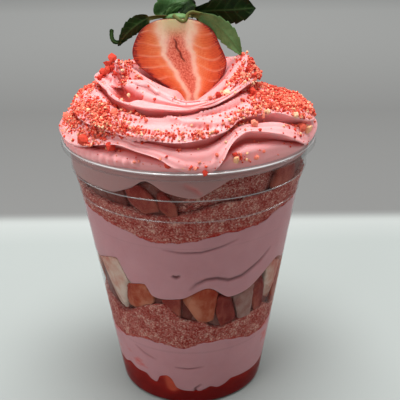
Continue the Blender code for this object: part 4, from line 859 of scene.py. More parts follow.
def leaf_material():
    """Strawberry leaf: dark waxy upper face, paler underside, raised paler veins, brown-green stems."""
    made, tree, shader = surface("strawberry_leaf", 0.45, Specular_IOR_Level=0.12)
    blotch = number_ramp(tree, noise(tree, 3.0), 0.3, 0.7, -0.12, 0.12)
    # Paleness holds each leaf's painted light and shade besides its paler underside.
    tone = arithmetic(tree, "ADD", mark(tree, "pale"), blotch)
    body = ramp(tree, tone, [(0.0, (0.003, 0.012, 0.002)), (0.35, (0.012, 0.034, 0.005)),
                             (0.65, (0.050, 0.125, 0.036)), (1.0, (0.15, 0.27, 0.10))])
    veined = mix(tree, arithmetic(tree, "MULTIPLY", mark(tree, "vein"), 0.45), body, (0.10, 0.19, 0.06))
    veined = mix(tree, mark(tree, "stem"), veined, (0.13, 0.12, 0.03))
    tree.links.new(veined, shader.inputs["Base Color"])
    grain = arithmetic(tree, "MULTIPLY", noise(tree, 0.8), 0.5)
    relief = arithmetic(tree, "SUBTRACT", grain, mark(tree, "vein"))
    bump(tree, shader, relief, 0.18)
    return made


# ---- cup -----------------------------------------------------------------------------------------
def rounded(profile, steps):
    """A profile with a smooth curve through its points."""
    points = np.array(profile, float)
    smooth = []
    for index in range(len(points) - 1):
        before, start = points[max(index - 1, 0)], points[index]
        end, after = points[index + 1], points[min(index + 2, len(points) - 1)]
        smooth += [curve_through(before, start, end, after, step / steps) for step in range(steps)]
    return smooth + [points[-1]]


def bead(height, radius, reach, size):
    """Profile points of a small rounded step in the wall."""
    return [(radius + reach * math.sin(math.pi * t) ** 2, height + size * (2 * t - 1))
            for t in np.linspace(0, 1, 9)]


def wall_points(heights, inset=0.0):
    """Profile points of the plain wall at some heights, moved in by an inset."""
    return [(float(outer_radius(height)) - inset, height) for height in heights]


def cup_profile():
    """Radius and height along the cup's section, from under its floor round the lip to its floor's top."""
    outside = rounded([(FOOT_RADIUS - 4.6, FLOOR_RISE), (FOOT_RADIUS - 3.2, 1.1), (FOOT_RADIUS - 2.2, 0.15),
                       (FOOT_RADIUS - 1.4, 0.0), (FOOT_RADIUS - 0.5, 0.25), (outer_radius(1.2), 1.2)], 4)
    outside += wall_points((6, 14, 22))
    outside += bead(27.5, float(outer_radius(27.5)), 0.12, 0.9)
    outside += wall_points((34, 44, 54, 64, 72))
    outside += bead(76.5, float(outer_radius(76.5)), 0.15, 0.8)
    outside += wall_points((82, 86.2))
    outside += bead(LEDGE_HEIGHT, LEDGE_RADIUS, STEP_OUT, 0.7)
    outside += wall_points((90, 93.5))
    outside += bead(SHOULDER_HEIGHT, SHOULDER_RADIUS, STEP_OUT, 0.8)
    outside += wall_points((99.5, 102.5))
    lip_foot, lip_middle = CUP_HEIGHT - LIP_DEPTH, CUP_HEIGHT - LIP_DEPTH / 2
    lip = rounded([(NECK_RADIUS, NECK_HEIGHT), (NECK_RADIUS + 0.7, lip_foot + 0.15),
                   (LIP_RADIUS - 1.1, lip_foot), (LIP_RADIUS - 0.2, lip_foot + 0.7),
                   (LIP_RADIUS, lip_middle), (LIP_RADIUS - 0.25, CUP_HEIGHT - 0.75),
                   (LIP_RADIUS - 0.95, CUP_HEIGHT - 0.1), (LIP_RADIUS - LIP_TOP_INSET, CUP_HEIGHT),
                   (LIP_RADIUS - 2.7, CUP_HEIGHT - 0.7), (NECK_RADIUS - WALL, NECK_HEIGHT + MOUTH_RISE)], 4)
    inside = wall_points((SHOULDER_HEIGHT, LEDGE_HEIGHT, 60, 30, 3), WALL)
    inside += rounded(wall_points((1.6,), WALL) + [(FOOT_RADIUS - 1.2, 0.65), (FOOT_RADIUS - 2.0, 0.8),
                                                   (FOOT_RADIUS - 4.3, FLOOR_RISE + WALL)], 4)
    return outside + lip + inside


def make_cup():
    """The clear cup; its lip and the steps of its wall are marked for painted white highlights."""
    azimuth = columns(CUP_SEGMENTS)
    profile = cup_profile()
    rings = [around(azimuth, radius, height) for radius, height in profile]
    painted_highlights, lips = [], []
    for radius, height in profile:
        strength = max(share * math.exp(-((height - place) / reach) ** 2)
                       for place, reach, share in WALL_PAINTED_HIGHLIGHTS)
        outside = radius > float(outer_radius(height)) - 0.3
        painted_highlights.append(np.full(CUP_SEGMENTS, strength if outside else 0.0))
        lips.append(np.full(CUP_SEGMENTS, float(height > CUP_HEIGHT - LIP_DEPTH - 0.3)))
    cup = ring_solid("clear_cup", rings, (0, 0, FLOOR_RISE), (0, 0, FLOOR_RISE + WALL), plastic_material(),
                     {"bead": painted_highlights, "lip": lips})
    place_piece(cup, "clear_plastic", "cup")


# ---- layers --------------------------------------------------------------------------------------
def groove_depth(points, grooves):
    """How deep the grooves cut at each point, and how strongly each point gets a groove's painted shade.
    Their ends fade out.
    """
    azimuth, height = azimuth_of(points), points[..., 2]
    radius = float(np.mean(np.hypot(points[..., 0], points[..., 1])))
    depth, strength = np.zeros(height.shape), np.zeros(height.shape)
    for line, half_width, deepest in grooves:
        pieces = len(line) - 1
        for piece, (start, end) in enumerate(zip(line, line[1:])):
            run = np.array([math.radians(end[0] - start[0]) * radius, end[1] - start[1]])
            offset = np.stack([np.radians(azimuth - start[0]) * radius, height - start[1]], axis=-1)
            along = np.clip(offset @ run / (run @ run), 0.0, 1.0)
            share = (piece + along) / pieces
            fade = np.clip(4.0 * share * (1 - share), 0.0, 1.0) ** 0.6
            gap = np.linalg.norm(offset - along[..., None] * run, axis=-1) / half_width
            depth = np.maximum(depth, deepest * fade * np.exp(-gap ** 2))
            strength = np.maximum(strength, fade * np.exp(-(gap * 0.9) ** 2) * min(1.0, deepest * 1.1))
    return depth, strength


def stained(points):
    """How strongly sauce has smeared each point of the cream at the wall."""
    azimuth, height = azimuth_of(points), points[..., 2]
    total = np.zeros(height.shape)
    for place, level, wide, high, strength in CREAM_STAINS:
        turn = (azimuth - place + 180.0) % 360.0 - 180.0
        total = np.maximum(total, strength * np.exp(-(turn / wide) ** 2 - ((height - level) / high) ** 2))
    flattened = points * (1.0, 1.0, 2.2)
    streaks = soft_noise(flattened, 5.0, 33) + 0.5 * soft_noise(flattened, 1.8, 34)
    return np.clip(total * 1.1 + 0.9 * streaks - 0.55, 0.0, 0.85) * (total > 0.03)


def layer_rings(foot, top, foot_fractions, top_fractions, wall_rows, relief, seed, grooves):
    """Rings of a layer from the middle of its underside, up its wall side and back over its top.

    With them come how strongly each point is smeared with sauce and how strongly it gets the grooves' painted
    shade.
    """
    azimuth = columns(LAYER_COLUMNS)
    rings = [around(azimuth, filling_radius(foot(azimuth, 1.0)) * part, foot(azimuth, part))
             for part in foot_fractions]
    stains_and_fold_shades, shades = ([np.zeros(LAYER_COLUMNS) for _ in rings] for _ in range(2))
    lower, upper = foot(azimuth, 1.0), top(azimuth, 1.0)
    for step in np.linspace(0.0, 1.0, wall_rows):
        height = lower + (upper - lower) * step
        ring = around(azimuth, filling_radius(height), height)
        dent, shade = groove_depth(ring, grooves)
        if relief:
            rough = 0.5 - soft_noise(ring, 0.9, seed) - 0.5 * soft_noise(ring, 2.2, seed + 1)
            dent = relief * np.clip(rough, 0.0, 1.2)
        rings.append(around(azimuth, filling_radius(height) - dent, height))
        stains_and_fold_shades.append(stained(ring))
        shades.append(shade)
    rings += [around(azimuth, filling_radius(top(azimuth, 1.0)) * part, top(azimuth, part))
              for part in top_fractions[::-1]]
    stains_and_fold_shades += [np.zeros(LAYER_COLUMNS) for _ in top_fractions]
    shades += [np.zeros(LAYER_COLUMNS) for _ in top_fractions]
    return rings, stains_and_fold_shades, shades


def make_layer(name, node, slot, foot, top, foot_fractions, top_fractions, wall_rows, finish,
               relief=0.0, seed=0, moist=None, grooves=()):
    """A filling layer that runs through the cup and shows at its wall."""
    rings, stains_and_fold_shades, shades = layer_rings(foot, top, foot_fractions, top_fractions, wall_rows,
                                         relief, seed, grooves)
    low, high = float(foot(np.array([0.0]), 0.0)[0]), float(top(np.array([0.0]), 0.0)[0])
    marks = {"moist": [moist(ring) for ring in rings]} if moist else {"stain_and_fold_shade": stains_and_fold_shades, "shade": shades}
    layer = ring_solid(name, rings, (0, 0, low), (0, 0, high), finish, marks)
    place_piece(layer, slot, node)


def azimuth_of(points):
    """Azimuth of each point."""
    return np.degrees(np.arctan2(points[..., 0], -points[..., 1]))


def near_edge(edge, reach, share):
    """How close points are to a layer's edge curve, from 0 at reach to share on the edge."""
    def value(points):
        gap = np.abs(points[..., 2] - closed_curve(edge, azimuth_of(points)))
        patchy = np.clip(0.6 + soft_noise(points, 2.5, 41), 0.0, 1.0)
        return share * np.clip(1 - gap / reach, 0.0, 1.0) * patchy
    return value


def make_sauce():
    """The pool of sauce, which shows thin where the cream above runs down into it."""
    azimuth = columns(LAYER_COLUMNS)
    floor = FLOOR_RISE + WALL - REACH_IN
    profile = [(FOOT_RADIUS - 4.3, floor), (FOOT_RADIUS - 2.0, 0.45), (FOOT_RADIUS - 0.9, 0.25)]
    rings = [around(azimuth, radius, height) for radius, height in profile]
    top = sauce_top(azimuth, 1.0)
    for step in np.linspace(0.0, 1.0, 14):
        height = 1.0 + (top - 1.0) * step
        rings.append(around(azimuth, filling_radius(height), height))
    rings += [around(azimuth, filling_radius(top) * part, sauce_top(azimuth, part))
              for part in PLAIN_FRACTIONS[::-1]]

    def thin(points):
        turn, height = azimuth_of(points), points[..., 2]
        middle = np.exp(-((turn + 14) / 5.0) ** 2) * smooth_step(4.0, 8.0, height)
        high = 0.45 * smooth_step(4.0, 11.0, height)
        return np.clip(middle + high + 0.15 * soft_noise(points, 4.0, 77), 0, 1)

    marks = {"thin": [thin(ring) for ring in rings]}
    sauce = ring_solid("sauce_pool", rings, (0, 0, floor), (0, 0, SAUCE_MIDDLE), sauce_material(), marks)
    place_piece(sauce, "strawberry_sauce", "sauce")


def make_layers(cream):
    """The layers of cream and crumble between the sauce and the piped cream."""
    crumble = crumble_material()
    make_layer("lower_cream_layer", "cream_lower", "cream", sauce_top, lower_cream_top,
               PLAIN_FRACTIONS, PLAIN_FRACTIONS, 60, cream, grooves=LOWER_GROOVES)
    make_layer("lower_crumble_bed", "crumble_lower", "crumble", lower_cream_top, lower_crumble_top,
               PLAIN_FRACTIONS, RINGED_FRACTIONS, 40, crumble,
               CRUMBLE_RELIEF, 51, near_edge(LOWER_CREAM_TOP, 1.6, 0.7))
    make_layer("middle_cream_layer", "cream_middle", "cream", middle_cream_foot, middle_cream_top,
               RINGED_FRACTIONS, PLAIN_FRACTIONS, 76, cream, grooves=MIDDLE_GROOVES)
    make_layer("upper_crumble_bed", "crumble_upper", "crumble", middle_cream_top, upper_crumble_top,
               PLAIN_FRACTIONS, RINGED_FRACTIONS, 36, crumble,
               CRUMBLE_RELIEF, 61, near_edge(MIDDLE_CREAM_TOP, 1.6, 0.9))


# ---- diced strawberries --------------------------------------------------------------------------
def cut_form(corners, reach, draw):
    """Points and faces of a cut block with an outline of corners (across, up) and slightly worn edges."""
    builder = bmesh.new()
    bmesh.ops.create_icosphere(builder, subdivisions=4, radius=1.0)
    point = np.array([vertex.co for vertex in builder.verts])
    faces = [[vertex.index for vertex in face.verts] for face in builder.faces]
    builder.free()
    following = np.roll(corners, -1, axis=0)
    edges = following - corners
    outward = np.stack([edges[:, 1], -edges[:, 0]], axis=1)
    outward /= np.linalg.norm(outward, axis=1, keepdims=True)
    planes = np.stack([outward[:, 0], -draw.uniform(0.0, 0.5, len(corners)), outward[:, 1]], axis=1)
    away = (outward * corners).sum(axis=1)
    back = (draw.uniform(-0.2, 0.2), 1.0, draw.uniform(-0.2, 0.2))
    planes = np.concatenate([planes, [back, (0.0, -1.0, 0.0)]])
    away = np.concatenate([away, [reach, reach]])
    size = np.array([np.abs(corners[:, 0]).max(), reach, np.abs(corners[:, 1]).max()])
    point = point * size
    share = np.maximum(point @ planes.T, 0.0) / away
    return point / (share ** 12).sum(axis=1, keepdims=True) ** (1 / 12), faces


def make_dice(name, place, foot, top, draw, finish, depth=DICE_DEPTH):
    """One cut piece of strawberry that lies against the wall, between the layer below and the cream above."""
    corners = np.array(place[0], float)
    middle = corners.mean(axis=0)
    arc = math.radians(float(filling_radius(middle[1])))
    flat = (corners - middle) * (arc, 1.0)
    if np.cross(flat[0], flat[1]) < 0:
        flat = flat[::-1]
    reach = (depth[1] - depth[0]) / 2 * float(filling_radius(middle[1]))
    form, faces = cut_form(flat, reach, draw)
    azimuth = middle[0] + form[:, 0] / arc
    fraction = np.minimum(sum(depth) / 2 + form[:, 1] / float(filling_radius(middle[1])), depth[1])
    lowest, highest = foot(azimuth, fraction) + DICE_CLEAR, top(azimuth, fraction) - DICE_CLEAR
    height = np.clip(middle[1] + form[:, 2], lowest, np.maximum(highest, lowest))
    radius = np.minimum(fraction * filling_radius(height), filling_radius(height) + 0.02)
    lean = draw.uniform(-0.5, 0.5)
    across = form[:, 0] / np.abs(form[:, 0]).max()
    upward = form[:, 2] / np.abs(form[:, 2]).max()
    core = np.clip(0.45 + draw.uniform(-0.15, 0.15) + lean * across - 0.25 * upward, 0, 1)
    return object_from(name, around(azimuth, radius, height), faces, finish, {"core": core})


def make_diced_fruit():
    """The cut pieces against the wall, and the ones close behind that show between them."""
    looks = {look: fruit_material(*colours) for look, colours in FRUIT_LOOKS.items()}
    crumble = crumble_material()
    draw = np.random.default_rng(DICE_SEED)
    bands = (("lower", LOWER_DICE, lower_crumble_top, middle_cream_foot),
             ("upper", UPPER_DICE, upper_crumble_top, top_cream_foot))
    for kind, dice, foot, top in bands:
        for number, place in enumerate(dice, 1):
            piece = make_dice(f"diced_{kind}_{number}", place, foot, top, draw, looks[place[1]])
            place_piece(piece, "diced_strawberry", f"strawberry_{kind}_{number}")
    for kind, _, foot, top in bands:
        count = BEHIND_COUNTS[kind]
        for number in range(count):
            middle = -180 + 360 * (number + 0.5) / count
            heaped = kind == "upper" and CRUMBLE_HEAP[0] < middle < CRUMBLE_HEAP[1]
            edge = np.array([middle], float)
            low, high = float(foot(edge, 0.9)[0]) - 2.0, float(top(edge, 0.9)[0]) + 2.0
            reach, lean = 270 / count, draw.uniform(-0.4, 0.4, 4)
            corners = [(middle - reach * (1 + lean[0]), low), (middle + reach * (1 + lean[1]), low),
                       (middle + reach * (1 + lean[2]), high), (middle - reach * (1 + lean[3]), high)]
            place = (corners, "behind")
            name, finish = ("crumble_heap", crumble) if heaped else ("fruit_behind", looks["behind"])
            piece = make_dice(f"{name}_{kind}_{number + 1}", place, foot, top, draw, finish, BEHIND_DEPTH)
            place_piece(piece, "crumble" if heaped else "diced_strawberry")


# ---- half strawberry -----------------------------------------------------------------------------
def berry_size(along):
    """Share of the full width a share of the way from the berry's tip to its top."""
    change = float(smooth_step(*FULLNESS_CHANGE, along))
    fullness = BERRY_FULLNESS[0] + (BERRY_FULLNESS[1] - BERRY_FULLNESS[0]) * change
    return math.sin(math.pi * along ** BERRY_WIDEST) ** fullness


def berry_middle(along):
    """The middle of the cut face a share of the way from the berry's tip to its top."""
    shift = float(smooth_step(*BERRY_BEND, along))
    return np.array([BERRY_TIP[0] + (BERRY_TOP[0] - BERRY_TIP[0]) * shift, BERRY_TIP[1],
                     BERRY_TIP[2] + (BERRY_TOP[2] - BERRY_TIP[2]) * along])


def seed_places():
    """Where the seeds sit on the skin: (share along, turn from the left edge round the back to the right)."""
    places = []
    for row, along in enumerate(np.linspace(0.10, 0.93, 13)):
        count = max(3, int(round(berry_size(float(along)) * 10)))
        for step in range(count):
            places.append((float(along), (step + 0.5 + 0.5 * (row % 2)) / (count + 0.5) * math.pi))
    return [place for place in places if 0.12 < place[1] < math.pi - 0.12]


def skin_point(along, turn, out=0.0):
    """A point on the berry's skin, moved out of it by a distance."""
    size = berry_size(along)
    offset = np.array([math.cos(turn) * BERRY_HALF_WIDTH, math.sin(turn) * BERRY_DEPTH, 0.0])
    slope = (berry_size(min(along + 0.01, 0.999)) - berry_size(max(along - 0.01, 0.001))) / 0.02
    facing = offset / np.linalg.norm(offset)
    facing[2] = -slope * BERRY_DEPTH / (BERRY_TOP[2] - BERRY_TIP[2])
    return berry_middle(along) + offset * size + facing / np.linalg.norm(facing) * out


def face_marks(along, across, wide):
    """How the cut face is coloured at distances across it, a share of the way up it."""
    beside = np.abs(across)
    arm = ARM_REACH[0] + (ARM_REACH[1] - ARM_REACH[0]) * float(smooth_step(0.05, 0.65, along))
    arm_width = 0.8 + 1.9 * float(smooth_step(0.6, 0.97, along))
    outside = np.clip((beside - arm) / max(wide - arm, 0.3), 0.0, 1.0)
    wobble = 0.35 * math.sin(23 * along) + 0.2 * math.sin(51 * along + 1)
    white = np.exp(-(np.maximum(np.abs(beside - arm - wobble) - 0.25, 0) / arm_width) ** 2)
    white = np.maximum(white, 0.9 * smooth_step(0.86, 0.97, along) * smooth_step(9.5, 6.0, beside))
    left = across < 0
    drop = VEIN_DROP * np.where(left, -0.25, 1.0) * np.sin(2.7 * outside)
    sway = 0.5 * np.sin(5 * outside + 9 * along)
    phase = (along * FACE_LENGTH + drop + sway + np.where(left, 1.6, 0.0)) / VEIN_SPACING
    line = np.exp(-((phase % 1.0 - 0.5) / 0.085) ** 2)
    line = line * smooth_step(0.0, 0.1, outside) * smooth_step(1.0, 0.85, outside)
    vein_strength = (0.75 - 0.3 * outside) * np.clip(0.75 + 0.5 * np.sin(11 * along + 4 * outside), 0.2, 1.0)
    slit_middle = SLIT_LEAN * (SLIT_SPAN[1] - along) - 0.9 + 0.25 * math.sin(60 * along)
    slit_start, slit_end = SLIT_SPAN
    in_slit = smooth_step(slit_start, slit_start + 0.05, along)
    in_slit = in_slit * smooth_step(slit_end, slit_end - 0.05, along)
    fibres = 0.07 * np.sin(31 * phase) + 0.05 * np.sin(53 * phase + 3 * outside)
    return {"depth": (wide - beside) / max(wide - arm, 0.3) + fibres * smooth_step(0.02, 0.2, outside),
            "white": white,
            "heart": smooth_step(arm + 0.2, arm - 0.5, beside),
            "heart_tone": 0.35 + 0.25 * beside / arm,
            "vein": line * vein_strength,
            "crown": smooth_step(0.78, 0.97, along) * np.exp(-((across + 0.8) / 6.0) ** 2),
            "slit": np.exp(-((across - slit_middle) / 0.38) ** 2) * in_slit,
            "skin": np.zeros(len(across))}


def make_berry():
    """Half a strawberry with its cut face towards -Y, dimpled at each seed."""
    seeds = np.array([skin_point(*place) for place in seed_places()])
    rings, marks = [], {}
    for row in range(1, BERRY_ROWS):
        along = 0.5 - 0.5 * math.cos(math.pi * row / BERRY_ROWS)
        size = berry_size(along)
        centre = berry_middle(along)
        wide, deep = BERRY_HALF_WIDTH * size, BERRY_DEPTH * size
        turn = np.linspace(0, math.pi, BERRY_BACK_STEPS + 1)
        outward = np.stack([np.cos(turn) * wide, np.sin(turn) * deep, np.zeros(len(turn))], axis=-1)
        back = centre + outward
        closest = np.linalg.norm(back[:, None] - seeds[None], axis=-1).min(axis=1)
        dimple = 0.42 * np.exp(-(closest / 0.95) ** 2) * np.clip(np.sin(turn), 0, 1) ** 0.3
        back -= outward / np.maximum(np.linalg.norm(outward, axis=1, keepdims=True), 1e-6) * dimple[:, None]
        across = -np.linspace(1, -1, BERRY_FRONT_STEPS + 1)[1:-1] * wide
        face = face_marks(along, across, wide)
        rise = -0.18 * face["white"] - 0.12 * face["vein"] + 0.5 * face["slit"]
        front = centre + np.stack([across, rise, np.zeros(len(across))], axis=-1)
        rings.append(np.concatenate([back, front]))
        for key, values in face.items():
            on_skin = np.full(len(turn), 1.0 if key == "skin" else 0.0)
            marks.setdefault(key, []).append(np.concatenate([on_skin, values]))
    berry = ring_solid("half_strawberry", rings, BERRY_TIP, BERRY_TOP, berry_material(), marks)
    place_piece(berry, "strawberry_flesh", "strawberry_half")


def make_seeds():
    """The small pale seeds in the berry's skin."""
    draw = np.random.default_rng(SEEDS_SEED)
    centres = np.array([skin_point(*place, out=-SEED_SINK) for place in seed_places()])
    finish = crumb_material("seed_gold", (0.50, 0.25, 0.06), (0.72, 0.46, 0.16))
    seeds = joined_blobs("strawberry_seeds", centres, np.full(len(centres), SEED_SIZE), draw, finish, 0.35)
    place_piece(seeds, "strawberry_flesh")


# ---- leaves --------------------------------------------------------------------------------------
def leaf_rings(leaf, number):
    """Rings of points round a thin leaf with toothed edges, and its marks for veins, paleness and stem."""
    root, middle, end, half_width, wave, turn, power = leaf
    root, middle, end = Vector(root), Vector(middle), Vector(end)
    share = np.linspace(-1, 1, LEAF_ACROSS + 1)
    stem_end = LEAF_STEMS[number - 1]
    rings, marks = [], {"vein": [], "pale": [], "stem": []}
    for station in range(LEAF_STATIONS + 1):
        t = station / LEAF_STATIONS
        centre = root * (1 - t) ** 2 + middle * 2 * t * (1 - t) + end * t * t
        along = ((middle - root) * (1 - t) + (end - middle) * t).normalized()
        across = along.cross(Vector((0, 1, 0))).normalized()
        facing = across.cross(along).normalized()
        lean = math.radians(turn)
        across, facing = (across * math.cos(lean) + facing * math.sin(lean),
                          facing * math.cos(lean) - across * math.sin(lean))
        blade = max(0.0, (t - stem_end) / (1 - stem_end))
        width = half_width * math.sin(math.pi * (0.10 + 0.885 * blade ** power)) ** 0.7
        width = max(width if t > stem_end else 0.0, STEM_HALF_WIDTH)
        teeth = 0.17 * ((blade * LEAF_TEETH + 0.37 * number) % 1.0 - 0.6)
        teeth *= float(smooth_step(0.15, 0.35, blade))
        fold = 0.35 * np.exp(-(share / 0.12) ** 2)
        bend = wave * np.sin(7 * t + 2.2 * share) - 0.9 * wave * share * share - fold
        spread = width * share * (1 - teeth * smooth_step(0.5, 0.95, np.abs(share)))
        line = np.array(centre) + np.outer(spread, np.array(across))
        line = line + np.outer(bend * min(1, width), np.array(facing))
        half = LEAF_THICKNESS / 2 * np.sqrt(np.clip(1 - share ** 8, 0.05, 1))[:, None] * np.array(facing)
        rings.append(np.concatenate([line + half, (line - half)[::-1]]))
        midrib = np.exp(-(share * width / 0.30) ** 2)
        side_veins = np.clip(np.cos(2 * np.pi * (blade * 6.0 - np.abs(share) * 1.1)), 0, 1) ** 14 * 0.5
        veins = np.clip(midrib + side_veins * (np.abs(share) < 0.93), 0, 1) * (t > stem_end)
        # Leaf 2 is painted paler towards one side: painted light.
        tone = LEAF_LIGHT_TONES[number - 1] + 0.15 * (share if number == 2 else 0 * share)
        marks["vein"].append(np.concatenate([veins, veins[::-1]]))
        marks["pale"].append(np.concatenate([tone, (tone + 0.12)[::-1]]))
        marks["stem"].append(np.full(2 * len(share), float(smooth_step(stem_end + 0.05, stem_end - 0.02, t))))
    return rings, marks


def make_leaves():
    """The leaves, their hub and the stub of stalk, as one piece."""
    finish = leaf_material()
    pieces = []
    for number, leaf in enumerate(LEAVES, 1):
        rings, marks = leaf_rings(leaf, number)
        start = rings[0].mean(axis=0)
        tip = rings[-1].mean(axis=0) + (np.array(leaf[2]) - np.array(leaf[1])) * 0.06
        pieces.append(ring_solid(f"leaf_{number}", rings, start, tip, finish, marks))
    pieces.append(make_hub(finish))
    pieces.append(make_stalk(finish))
    calyx = join_pieces("strawberry_calyx", pieces)
    place_piece(calyx, "leaf", "strawberry_leaves")


def join_pieces(name, pieces):
    """Several objects as one."""
    with bpy.context.temp_override(active_object=pieces[0], object=pieces[0], selected_objects=pieces,
                                   selected_editable_objects=pieces):
        bpy.ops.object.join()
    pieces[0].name = name
    pieces[0].data.name = name
    return pieces[0]


def make_hub(finish):
    """The small round base that the leaves grow from."""
    turn = columns(48)
    rings, count = [], 18
    for row in range(1, count):
        tilt = math.pi * row / count
        radius = math.sin(tilt) * (1 + 0.08 * np.sin(5 * np.radians(turn)))
        ring = np.stack([HUB_CENTRE[0] + HUB_SIZE[0] * radius * np.cos(np.radians(turn)),
                         HUB_CENTRE[1] + HUB_SIZE[1] * radius * np.sin(np.radians(turn)),
                         np.full(len(turn), HUB_CENTRE[2] - HUB_SIZE[2] * math.cos(tilt))], axis=-1)
        rings.append(ring)
    base, crown = np.array(HUB_CENTRE), np.array(HUB_CENTRE)
    base[2] -= HUB_SIZE[2]
    crown[2] += HUB_SIZE[2]
    plain = {"vein": [np.zeros(48)] * len(rings), "pale": [np.full(48, 0.9)] * len(rings),
             "stem": [np.zeros(48)] * len(rings)}
    return ring_solid("leaf_hub", rings, base, crown, finish, plain)


def make_stalk(finish):
    """The curled stub of stalk."""
    points = [Vector(point) for point in rounded(STALK_POINTS, 6)]
    rings = []
    for index, point in enumerate(points):
        ahead = points[min(index + 1, len(points) - 1)] - points[max(index - 1, 0)]
        side = ahead.cross(Vector((0, 1, 0))).normalized()
        other = side.cross(ahead).normalized()
        size = STALK_RADIUS * (1.1 - 0.35 * index / len(points))
        turns = [turn * math.pi / 8 for turn in range(16)]
        rings.append(np.array([point + (side * math.cos(turn) + other * math.sin(turn)) * size
                               for turn in turns]))
    plain = {"vein": [np.zeros(16)] * len(rings), "pale": [np.full(16, 0.8)] * len(rings),
             "stem": [np.full(16, 0.8)] * len(rings)}
    return ring_solid("leaf_stalk", rings, points[0], points[-1], finish, plain)


# ---- swirl and crumbs ----------------------------------------------------------------------------
def swirl_grid():
    """The swirl's fine surface, with its level at every point."""
    form = swirl_form(columns(SWIRL_COLUMNS))
    levels = form[3]
    rows, heights, phases = [], [], []
    for band in range(4):
        for step in 1 - (1 - np.arange(BAND_ROWS) / BAND_ROWS) ** 1.35:
            rows.append(swirl_row(form, band, float(step)))
            heights.append(levels[band] + (levels[band + 1] - levels[band]) * step)
            phases.append(band + step)
    for step in np.arange(CRATER_ROWS) / CRATER_ROWS:
        rows.append(swirl_row(form, 4, float(step)))
        heights.append(levels[4] + (levels[5] - levels[4]) * step)
        phases.append(4 + step)
    return np.array(rows), np.array(heights), np.array(phases)


def feature_line(points):
    """Closely spaced places on the swirl along a feature's (azimuth, level) points."""
    knots = np.array(points, float)
    share = np.linspace(0, len(knots) - 1, 5 * (len(knots) - 1) + 1)
    places = [np.interp(share, np.arange(len(knots)), knots[:, side]) for side in (0, 1)]
    return np.array([swirl_point(azimuth, level)[0] for azimuth, level in zip(*places)])


def detailed(points, levels, phases):
    """The swirl with its finer form: streaks along the piping, lumps, and ropes and recesses by the berry."""
    azimuth = np.broadcast_to(columns(SWIRL_COLUMNS)[None, :], levels.shape)
    facing = grid_normals(points)
    above_lip = smooth_step(108.0, 110.5, points[..., 2]) * smooth_step(9.2, 8.2, levels)
    drift = soft_noise(around(azimuth, 40.0, 0.0), 16.0, 12)
    fan = smooth_step(5.0, 5.8, levels) * smooth_step(8.0, 7.4, levels)
    streaks = np.sin(2 * np.pi * (phases[:, None] * 3.4 + 0.5 * drift)) * (0.10 + 0.16 * fan)
    lumps = 0.35 * soft_noise(points, 11.0, 13) + 0.12 * soft_noise(points, 4.0, 14)
    total = (streaks + lumps) * above_lip
    for line, half_width, rise in SWIRL_FEATURES:
        places = feature_line(line)
        gap = np.full(levels.shape, 1e9)
        for index, place in enumerate(places):
            fade = 0.35 + 0.65 * math.sin(math.pi * (index + 0.5) / len(places))
            gap = np.minimum(gap, np.linalg.norm(points - place, axis=-1) / fade)
        total = total + rise * np.exp(-(gap / half_width) ** 2)
    return points + facing * total[..., None]


def crumb_places(draw):
    """Azimuth, level and size of each large crumb, the largest first, drawn from the patches."""
    shares = np.array([patch[4] for patch in CRUMB_PATCHES])
    sizes = np.sort(draw.uniform(*CRUMB_SIZES, CRUMB_COUNT) ** 1.3)[::-1]
    places = []
    for size in sizes:
        azimuth, level, spread, levels, _ = CRUMB_PATCHES[draw.choice(len(shares), p=shares / shares.sum())]
        places.append((azimuth + spread * draw.normal() * 0.8, level + levels * draw.normal() * 0.7, size))
    return places


def large_crumbs():
    """Centres and sizes of the large crumbs, clear of each other, of the lip and of the half strawberry."""
    draw = np.random.default_rng(CRUMB_SEED)
    placed = []
    for azimuth, level, size in crumb_places(draw):
        place, facing = swirl_point(azimuth, float(np.clip(level, 2.3, 8.0)))
        centre = place + facing * size * (1 - 2 * CRUMB_SINK)
        berry_near = math.hypot(centre[0], min(centre[1], 0.0)) < BERRY_HALF_WIDTH + size + CRUMB_CLEAR
        too_wide = math.hypot(centre[0], centre[1]) + size > LIP_RADIUS
        too_low = centre[2] - 1.1 * size < CUP_HEIGHT + 0.3
        crowded = any(np.linalg.norm(centre - other) < (size + reach) * 1.05 for other, reach in placed)
        if (berry_near and centre[1] > -BERRY_HALF_WIDTH) or too_wide or too_low or crowded:
            continue
        placed.append((centre, size))
    return np.array([each[0] for each in placed]), np.array([each[1] for each in placed])


def crumb_density(azimuth, levels):
    """How thickly crumbs lie at each place of the swirl."""
    total = np.zeros(levels.shape)
    for place, level, spread, reach, share in CRUMB_PATCHES + BERRY_SIDE_PATCHES:
        turn = (azimuth - place + 180.0) % 360.0 - 180.0
        total += share * np.exp(-(turn / spread) ** 2 - ((levels - level) / reach) ** 2)
    return total + 0.03 * smooth_step(2.2, 3.0, levels) * smooth_step(8.4, 8.0, levels)


